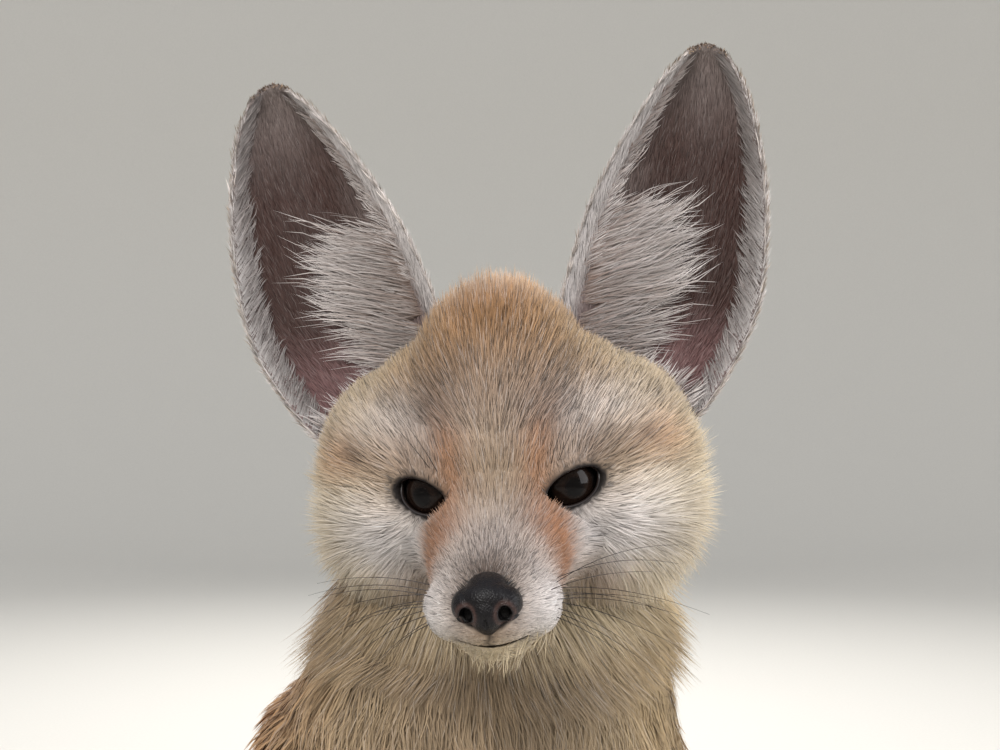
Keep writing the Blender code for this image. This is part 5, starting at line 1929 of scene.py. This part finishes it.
    def trunk_coat(self) -> None:
        """The hair of the back, flanks, rump, thighs and legs."""
        sheet = self.sheets["body"]
        middles = sheet.middles()
        f = self.placing.to_fox(middles)
        share, near = self.tail_place(middles)
        high = (f[:, 2] > RUFF_LOW) & (f[:, 1] < RUFF_REAR)
        tail = (near < TAIL_FLESH_REACH) & (share > 0.10)
        sheet = sheet.kept(~high & ~tail)
        f = self.placing.to_fox(sheet.middles())
        legs = (1 - ramp(f[:, 2], 0.080, 0.100)) * (1 - ramp(f[:, 1], -0.005, 0.010))
        density = 0.96e6 + 1.1e6 * legs

        def length(points: Array) -> Array:
            """Half as long on the legs as on the trunk."""
            q = self.placing.to_fox(points)
            leg = (1 - ramp(q[:, 2], 0.070, 0.100)) * (1 - ramp(q[:, 1], -0.005, 0.015))
            shank = (1 - ramp(q[:, 2], 0.018, 0.045)) * (1 - leg)
            return (0.0135 * (1 - leg) + 0.0068 * leg) * (1 - 0.45 * shank)

        def ticking(points: Array) -> Array:
            """More dark tufts on the back than below."""
            q = self.placing.to_fox(points)
            return 0.01 + 0.11 * ramp(q[:, 1], 0.010, 0.050) * ramp(q[:, 2], 0.030, 0.060)

        hair = self.hair(sheet, density, self.markings.body, self.lie.body, length,
                         0.00064, 0.30, 0.16, ticking, lambda points: points[:, 2] < 0.003)
        hair.width = hair.width * (0.55 + 0.45 * ramp(hair.length, 0.006, 0.011))
        hair.tip = hair.tip * 0.7 + self.markings.body(hair.roots) * 0.3
        self.coat.grow("trunk_coat", hair, 2, 0.006, 0.40)

    def tail_coat(self) -> None:
        """The tail's bushy brush, dark at its tip."""
        sheet = self.sheets["body"]
        share, near = self.tail_place(sheet.middles())
        sheet = sheet.kept((near < TAIL_FLESH_REACH) & (share > 0.08))
        tangent = unit(np.gradient(self.body.tail_stations(), axis=0))
        brush = along(TAIL_BRUSH, TAIL_STATIONS)[:, 0]

        def step(points: Array) -> Array:
            """The number of the tail's station nearest to each point."""
            return np.round(self.tail_place(points)[0] * (TAIL_STATIONS - 1)).astype(int)

        def lie(points: Array, outward: Array) -> Array:
            """Along the tail to its tip."""
            return self.lie.laid(tangent[step(points)], outward)

        def length(points: Array) -> Array:
            """Longer where the brush is thick."""
            return 0.012 + brush[step(points)] * 0.62

        def colours(points: Array) -> Array:
            """The tail's colour at each point."""
            return self.markings.tail(points, self.tail_place(points)[0])

        hair = self.hair(sheet, 1.72e6, colours, lie, length, 0.0009, 0.62, 0.30, 0.14)
        low = ramp(self.placing.to_fox(hair.roots)[:, 2], 0.002, 0.012)
        flat = hair.outward[:, 2] < -0.3
        hair.lift = hair.lift * np.where(flat, 0.0, 0.45 + 0.55 * low)
        end = 1 - ramp(self.tail_place(hair.roots)[0], 0.90, 1.0) * 0.45
        hair.length = hair.length * end
        self.coat.grow("tail_coat", hair, 3, 0.008, 0.50, 0.04)

    def foot_coat(self) -> None:
        """The short hair of the feet."""
        for k, foot in enumerate(self.feet):
            sheet = self.sheets[f"foot_{k}"]
            top = HEEL_HEIGHT if foot.hind else WRIST_HEIGHT
            middles = sheet.middles()
            sheet = sheet.kept((middles[:, 2] > 0.0015) & (middles[:, 2] < top + 0.004))
            hair = self.hair(sheet, 2.2e6, self.markings.body, self.lie.foot, 0.0050,
                             0.00040, 0.34, 0.18, 0.02, lambda p: p[:, 2] < 0.0020)
            word = "hindfoot" if foot.hind else "forepaw"
            self.coat.grow(f"{word}_coat_{foot.side.word}", hair, 2, 0.003, 0.3)

    def ear_coat(self, side: Side) -> None:
        """An ear's short hair on both faces, and the long pale fringe across its cup.

        Args:
            side: which ear.
        """
        ear = self.ears[side]
        own = self.sheets["ear_" + side.word]
        middles = own.middles()
        outward = unit(own.normals[own.triangles].mean(axis=1))
        u, v, front = self.ear_place(side, middles, outward)
        back = own.kept(~front & (u > 0.04))
        cup = own.kept(front & (u > 0.10))

        def upward(points: Array, out: Array) -> Array:
            """Up the ear, and from its middle out to both edges."""
            a, b, _ = self.ear_place(side, points, out)
            rise = ear.surface(np.minimum(a + 0.02, 1), b) - ear.surface(np.maximum(a - 0.02, 0), b)
            spread = ear.surface(a, np.minimum(b + 0.02, 1)) - ear.surface(a, np.maximum(b - 0.02, 0))
            return self.lie.laid(unit(rise) + unit(spread) * ((b - 0.5) * 0.9)[:, None], out)

        def shown(points: Array, paint_at: Callable[[Array, Array], Array]) -> Array:
            """The colour that one of the ear's markings has at each point."""
            a, b, _ = self.ear_place(side, points, np.zeros_like(points))
            return paint_at(a, b)

        def short_at_tip(points: Array, size: float) -> Array:
            """A length that falls off at the tip."""
            height = self.ear_place(side, points, np.zeros_like(points))[0]
            return size * (1 - 0.62 * ramp(height, 0.86, 0.97))

        fur = self.hair(back, 3.45e6, lambda p: shown(p, self.markings.ear_back), upward,
                        lambda p: short_at_tip(p, 0.0062), 0.00032, 0.20, 0.10, 0.05)
        self.coat.grow(f"ear_back_coat_{side.word}", fur, 2, 0.004, 0.25)
        down = self.hair(cup, 4.2e6, lambda p: shown(p, self.markings.cup), upward,
                         lambda p: short_at_tip(p, 0.0046), 0.00024, 0.20, 0.10, 0.06)
        down.tip = down.tip * 0.30 + shown(down.roots, self.markings.cup) * 0.65
        self.coat.grow(f"ear_cup_coat_{side.word}", down, 2, 0.003, 0.3)
        self.fringe(side)

    def fringe(self, side: Side) -> None:
        """The long pale hairs from an ear's inner edge across its cup, and the shorter ones round it."""
        hair = Hair.joined([self.swept(self.ears[side], sweep) for sweep in FRINGE])
        self.coat.grow(f"ear_fringe_{side.word}", hair, 3, 0.0045, 0.60, 0.05, "pale_fur")

    def swept(self, ear: Ear, sweep: Sweep) -> Hair:
        """The hairs of one set of the fringe.

        Args:
            ear: the ear that they grow in.
            sweep: the set.

        Returns:
            The hairs.
        """
        draw, p, reach = self.coat.draw, self.markings.palette, sweep.reach
        u = sweep.low + (sweep.high - sweep.low) * draw.random(sweep.count)
        v = np.clip(sweep.start + sweep.spread * draw.random(sweep.count) ** 1.3 * reach, 0.025, 0.975)
        if sweep.is_long:
            thin = np.sin(u * 61) + np.sin(u * 37 + 1.3) > -1.05
            share = np.interp(u, [0.05, 0.18, 0.30, 0.46, 0.56], [0.45, 0.55, 1.0, 0.9, 0.05])
            thin &= draw.random(sweep.count) < share
            u, v = u[thin], v[thin]
        many = len(u)
        out = ear.normals(u, v)
        root = ear.surface(u, v) + out * ear.thickness * 0.5
        across = unit(ear.surface(u, np.clip(v + 0.05 * reach, 0, 1)) - ear.surface(u, v))
        up = unit(ear.surface(np.minimum(u + 0.03, 1), v) - ear.surface(np.maximum(u - 0.03, 0), v))
        rise = np.interp(u, [0.07, 0.20, 0.40, 0.60, 1.0], [0.60, 0.62, 0.72, 1.0, 1.9])
        if not sweep.is_long:
            rise = rise + (0.30 if reach < 0 else 1.2)
        lie = Lie.laid(across + up * (rise + draw.normal(0, 0.22, many))[:, None], out)
        length = sweep.size * (0.42 + 1.25 * draw.random(many) ** 2)
        length = length * (1 - 0.45 * np.abs((u - sweep.low) / (sweep.high - sweep.low) - 0.55))
        tip = self.variety(np.tile(p.white, (many, 1)), 0.08)
        tip = over(tip, p.grey, ramp(u, 0.55, 0.75) * 0.5)
        base = self.variety(np.tile(p.brown * 1.5, (many, 1)), 0.15)
        if reach < 0:
            base, tip = tip * 0.62, self.variety(np.tile(p.grey * 0.48, (many, 1)), 0.30)
        places = np.column_stack([u, v]) * 0.9 + 0.05
        lift = (0.42 if sweep.is_long else 0.22) * draw.uniform(0.5, 1.5, many)
        width = 0.00026 * draw.uniform(0.7, 1.3, many)
        return Hair(root, out, lie, places, length, width, lift, base, tip, np.full(many, 0.10))

    def eyes(self) -> None:
        """The eyeballs: a dark iris round a black pupil, under a slightly raised cornea.

        The radius at an angle a from the gaze is R (1 + 0.015 exp(-(a / 0.6)^2)).
        """
        finish, rim_finish = WET_EYE.make(), LID_MARGIN.make()
        a = np.linspace(0, math.pi, 56)
        radius = (EYE_RADIUS - 0.00015) * (1 + 0.015 * np.exp(-(a / 0.6) ** 2))
        for side in Side:
            centre, axes = self.placing.eye(side)
            surface = ball(centre, radius[:, None, None], axes, len(a), 48)
            piece = closed_mesh("eyeball_" + side.word, surface)
            points = vectors_of(piece.data)
            gaze = np.arccos(np.clip(unit(points - centre) @ axes[:, 2], -1, 1))
            colour = np.tile(paint(26, 17, 13), (len(points), 1))
            colour = over(colour, paint(10, 8, 8), ramp(gaze, 0.60, 0.74))
            colour = over(colour, paint(8, 6, 6), 1 - ramp(gaze, 0.24, 0.34))
            paint_points(piece.data, colour)
            declared(piece, finish, ["eye_" + side.word])
            ring = almond(EYE_OPENING[0] * 1.04, EYE_OPENING[1] * 1.10, 60)
            out = EYE_RADIUS + LID_THICKNESS * 0.62
            height = np.sqrt(out ** 2 - np.sum(ring ** 2, axis=1))
            loop = np.column_stack([ring, height]) @ axes.T + centre
            rim = closed_mesh("lid_margin_" + side.word, hoop(loop, 0.00062, 10))
            declared(rim, rim_finish)

    def nose(self) -> None:
        """The bare nose: a rounded pad, flat in front, with comma-shaped nostrils and the groove below."""
        masses = []
        for centre, radii in (((0, -0.0358, -0.0116), (0.0044, 0.0056, 0.0028)),
                              ((0, -0.0388, -0.0136), (0.0062, 0.0046, 0.0040)),
                              ((0, -0.0400, -0.0160), (0.0042, 0.0042, 0.0048)),
                              ((0.0044, -0.0384, -0.0150), (0.0035, 0.0046, 0.0039)),
                              ((-0.0044, -0.0384, -0.0150), (0.0035, 0.0046, 0.0039)),
                              ((0, -0.0392, -0.0190), (0.0026, 0.0032, 0.0026))):
            masses.append(ball(self.placing.spot(centre), radii, self.placing.head))
        pad = fused("nose_pad", masses, 0.00034, 5)
        for side in Side:
            s = side.value
            hole = ball(self.placing.spot((0.0043 * s, -0.0432, -0.0160)), (0.00155, 0.0036, 0.0021),
                        self.placing.head)
            slit = np.array([(0.0046 * s, -0.0428, -0.0170), (0.0066 * s, -0.0408, -0.0174),
                             (0.0090 * s, -0.0370, -0.0160)])
            comma = sleeve(self.placing.from_head(slit), [0.0011, 0.0010, 0.0007], rings=12)
            cut(pad, fused("nostril", [hole, comma], 0.0003, 2))
        groove = np.array([(0, -0.0446, -0.0150), (0, -0.0440, -0.0175), (0, -0.0430, -0.0205),
                           (0, -0.0420, -0.0230)])
        groove = sleeve(self.placing.from_head(groove), [0.0002, 0.0004, 0.0004, 0.0003], rings=12)
        cut(pad, closed_mesh("groove", groove))
        q = folded(self.placing.to_head(vectors_of(pad.data)))
        colour = np.tile(paint(13, 10, 13), (len(q), 1))
        rim = np.linalg.norm((q - (0.0043, -0.0425, -0.0160)) / (1, 1.6, 1.2), axis=1)
        colour = over(colour, paint(84, 60, 54), np.exp(-((rim - 0.0022) / 0.0004) ** 2) * 0.5)
        # The hollows of the nostrils are painted darker than the leather: painted shade.
        inside = np.linalg.norm((q - (0.0043, -0.0415, -0.0160)) / (0.0017, 0.0026, 0.0022), axis=1)
        colour = over(colour, paint(8, 6, 6), 1 - ramp(inside, 0.8, 1.15))
        paint_points(pad.data, colour)
        smoothed(pad.data)
        declared(pad, NOSE_LEATHER.make(), ["nose"])

    def whiskers(self, skin: bpy.types.Object) -> None:
        """Long dark whiskers from the muzzle's pads, and the hairs over the eyes.

        Args:
            skin: the skin that they grow from.
        """
        draw = np.random.default_rng(5)
        tree = BVHTree.FromObject(skin, bpy.context.evaluated_depsgraph_get())
        finish = WHISKER.make()
        for side in Side:
            s, paths, radii = side.value, [], []
            for row in range(4):
                for k in range(3 if row < 3 else 2):
                    place = np.array((0.006 * s, -0.0300 + 0.0040 * k, -0.0150 - 0.0021 * row))
                    start = self.rooted(tree, place, np.array((s, -0.15, 0.0)))
                    if start is None:
                        continue
                    out = np.array((s * 0.90, -0.10 + 0.06 * k, 0.42 - 0.26 * row)) + draw.normal(0, 0.08, 3)
                    bend = np.array((s * 0.10, 0.65, -0.95 - 0.05 * row)) + draw.normal(0, 0.15, 3)
                    size = (0.028 + 0.003 * k - 0.003 * row) * draw.uniform(0.75, 1.15)
                    self.add_hair(paths, radii, start, out, bend, size, 0.00010)
            for k in range(4):
                place = np.array((0.0135 * s + 0.002 * k * s, -0.001, 0.0060 + 0.001 * k))
                start = self.rooted(tree, place, np.array((0.1 * s, -1.0, 0.35)))
                if start is not None:
                    out = np.array((s * (0.20 + 0.12 * k), -0.55, 0.85))
                    self.add_hair(paths, radii, start, out, np.array((s * 0.5, 0.8, 0.1)), 0.022, 0.00009)
            piece = closed_mesh("whiskers_" + side.word, strands(np.stack(paths), np.stack(radii), 5))
            declared(piece, finish)

    def rooted(self, tree: BVHTree, place: Array, way: Array) -> Array | None:
        """Where a line from a place inside the head, in its axes, comes out of the skin."""
        start = Vector(self.placing.spot(place))
        heading = Vector(self.placing.head @ way).normalized()
        hit = tree.ray_cast(start, heading, 0.03)[0]
        return None if hit is None else np.array(hit)

    def add_hair(self, paths: list, radii: list, start: Array, out: Array, bend: Array, size: float,
                 thick: float) -> None:
        """Adds one long hair: start + L (out t + 0.42 bend t^2), tapering to its tip.

        Args:
            paths: gets its points.
            radii: gets its radii.
            start: where it leaves the skin.
            out: the way it starts, in the head's axes.
            bend: the way it bends.
            size: its length.
            thick: its radius at the root.
        """
        t = np.linspace(0, 1, 12)[:, None]
        way = unit(out) @ self.placing.head.T
        turn = unit(bend) @ self.placing.head.T
        paths.append(start - way * 0.001 + size * (way * t + turn * t ** 2 * 0.42))
        radii.append(thick * (1 - 0.8 * t[:, 0]) + 0.00001)

    def claws(self) -> None:
        """The dark horn claws of each foot."""
        finish = CLAW_HORN.make()
        for foot in self.feet:
            word = "hind" if foot.hind else "fore"
            piece = closed_mesh(f"{word}_claws_{foot.side.word}", strands(*foot.claws(), 10))
            declared(piece, finish)

    def build(self) -> None:
        """Makes every piece of the fox."""
        skin = self.skin()
        self.coat.skin = BVHTree.FromObject(skin, bpy.context.evaluated_depsgraph_get())
        self.eyes()
        self.nose()
        self.whiskers(skin)
        self.claws()
        self.face_coat()
        self.ruff_coat()
        self.trunk_coat()
        self.tail_coat()
        self.foot_coat()
        for side in Side:
            self.ear_coat(side)
        LOG.info("coat: %d triangles", self.coat.triangles)


@dataclass(frozen=True)
class Studio:
    """The pale floor, the soft lights and the camera."""

    placing: Placing
    reach: float = 0.381
    aside: float = 0.0006
    rise: float = 0.0281
    bearing: float = math.radians(18.0)
    lens: float = 57.1

    def floor(self) -> None:
        """A round floor that turns up into a low wall: flat to 1.6 m, then a quarter circle, then upright."""
        bend = np.linspace(0, math.pi / 2, 16)
        radius = np.concatenate([[0.0, 0.4, 1.0, 1.6], 1.6 + 0.7 * np.sin(bend[1:]), [2.3, 2.3]])
        height = np.concatenate([[0.0] * 4, 0.7 * (1 - np.cos(bend[1:])), [1.2, 1.9]])
        v = ring_angles(96)
        points = np.stack([radius[:, None] * np.cos(v), radius[:, None] * np.sin(v),
                           np.repeat(height[:, None], len(v), axis=1)], axis=-1)
        surface = points.reshape(-1, 3), grid_faces(len(radius), len(v))
        piece = linked("studio_floor", raw_mesh("studio_floor", surface))
        piece.data.materials.append(PALE_FLOOR.make())

    def lamp(self, name: str, place: Sequence[float], aim: Sequence[float], size: float, power: float,
             colour: Sequence[float]) -> None:
        """A square area light at a place, turned towards an aim.

        Args:
            name: its name.
            place: where it is.
            aim: what it is turned to.
            size: its side.
            power: its watts.
            colour: its colour.
        """
        light = bpy.data.lights.new(name, "AREA")
        light.size, light.energy, light.color = size, power, colour
        lamp = bpy.data.objects.new(name, light)
        lamp.location = place
        lamp.rotation_euler = (Vector(aim) - Vector(place)).to_track_quat("-Z", "Y").to_euler()
        bpy.context.scene.collection.objects.link(lamp)

    def lights(self) -> None:
        """A soft key from above in front, a fill, and a rim light from behind."""
        aim = (0.0, -0.05, 0.22)
        self.lamp("key", (-0.50, -0.85, 1.05), aim, 0.50, 12.5, (1.0, 0.98, 0.95))
        self.lamp("fill", (0.95, -0.60, 0.60), aim, 0.7, 7.5, (0.96, 0.97, 1.0))
        self.lamp("rim", (0.35, 1.00, 0.95), aim, 0.6, 12.0, (1.0, 0.98, 0.95))
        world = bpy.data.worlds.new("soft sky")
        world.use_nodes = True
        world.node_tree.nodes["Background"].inputs["Color"].default_value = (0.90, 0.94, 1.0, 1)
        world.node_tree.nodes["Background"].inputs["Strength"].default_value = 0.72
        bpy.context.scene.world = world

    def camera(self) -> None:
        """The camera at the photograph's distance and bearing, level."""
        middle = EYE_MIDDLE + self.placing.shift
        forward = np.array((math.sin(self.bearing), math.cos(self.bearing), 0))
        right = np.array((math.cos(self.bearing), -math.sin(self.bearing), 0))
        data = bpy.data.cameras.new("camera")
        data.lens, data.sensor_width = self.lens, 36.0
        data.clip_start = 0.02
        camera = bpy.data.objects.new("camera", data)
        camera.location = middle - forward * self.reach + right * self.aside + np.array((0, 0, self.rise))
        camera.rotation_euler = (math.pi / 2, 0, -self.bearing)
        bpy.context.scene.collection.objects.link(camera)
        bpy.context.scene.camera = camera

    def build(self) -> None:
        """Sets up the studio."""
        self.floor()
        self.lights()
        self.camera()
        bpy.context.scene.view_settings.view_transform = "Standard"


def main() -> None:
    """Loads the frame, dresses the fox and sets up the studio."""
    logging.basicConfig(level=logging.INFO, format="%(name)s %(message)s")
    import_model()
    fox = Fox()
    fox.build()
    Studio(fox.placing).build()


if __name__ == "__main__":
    main()
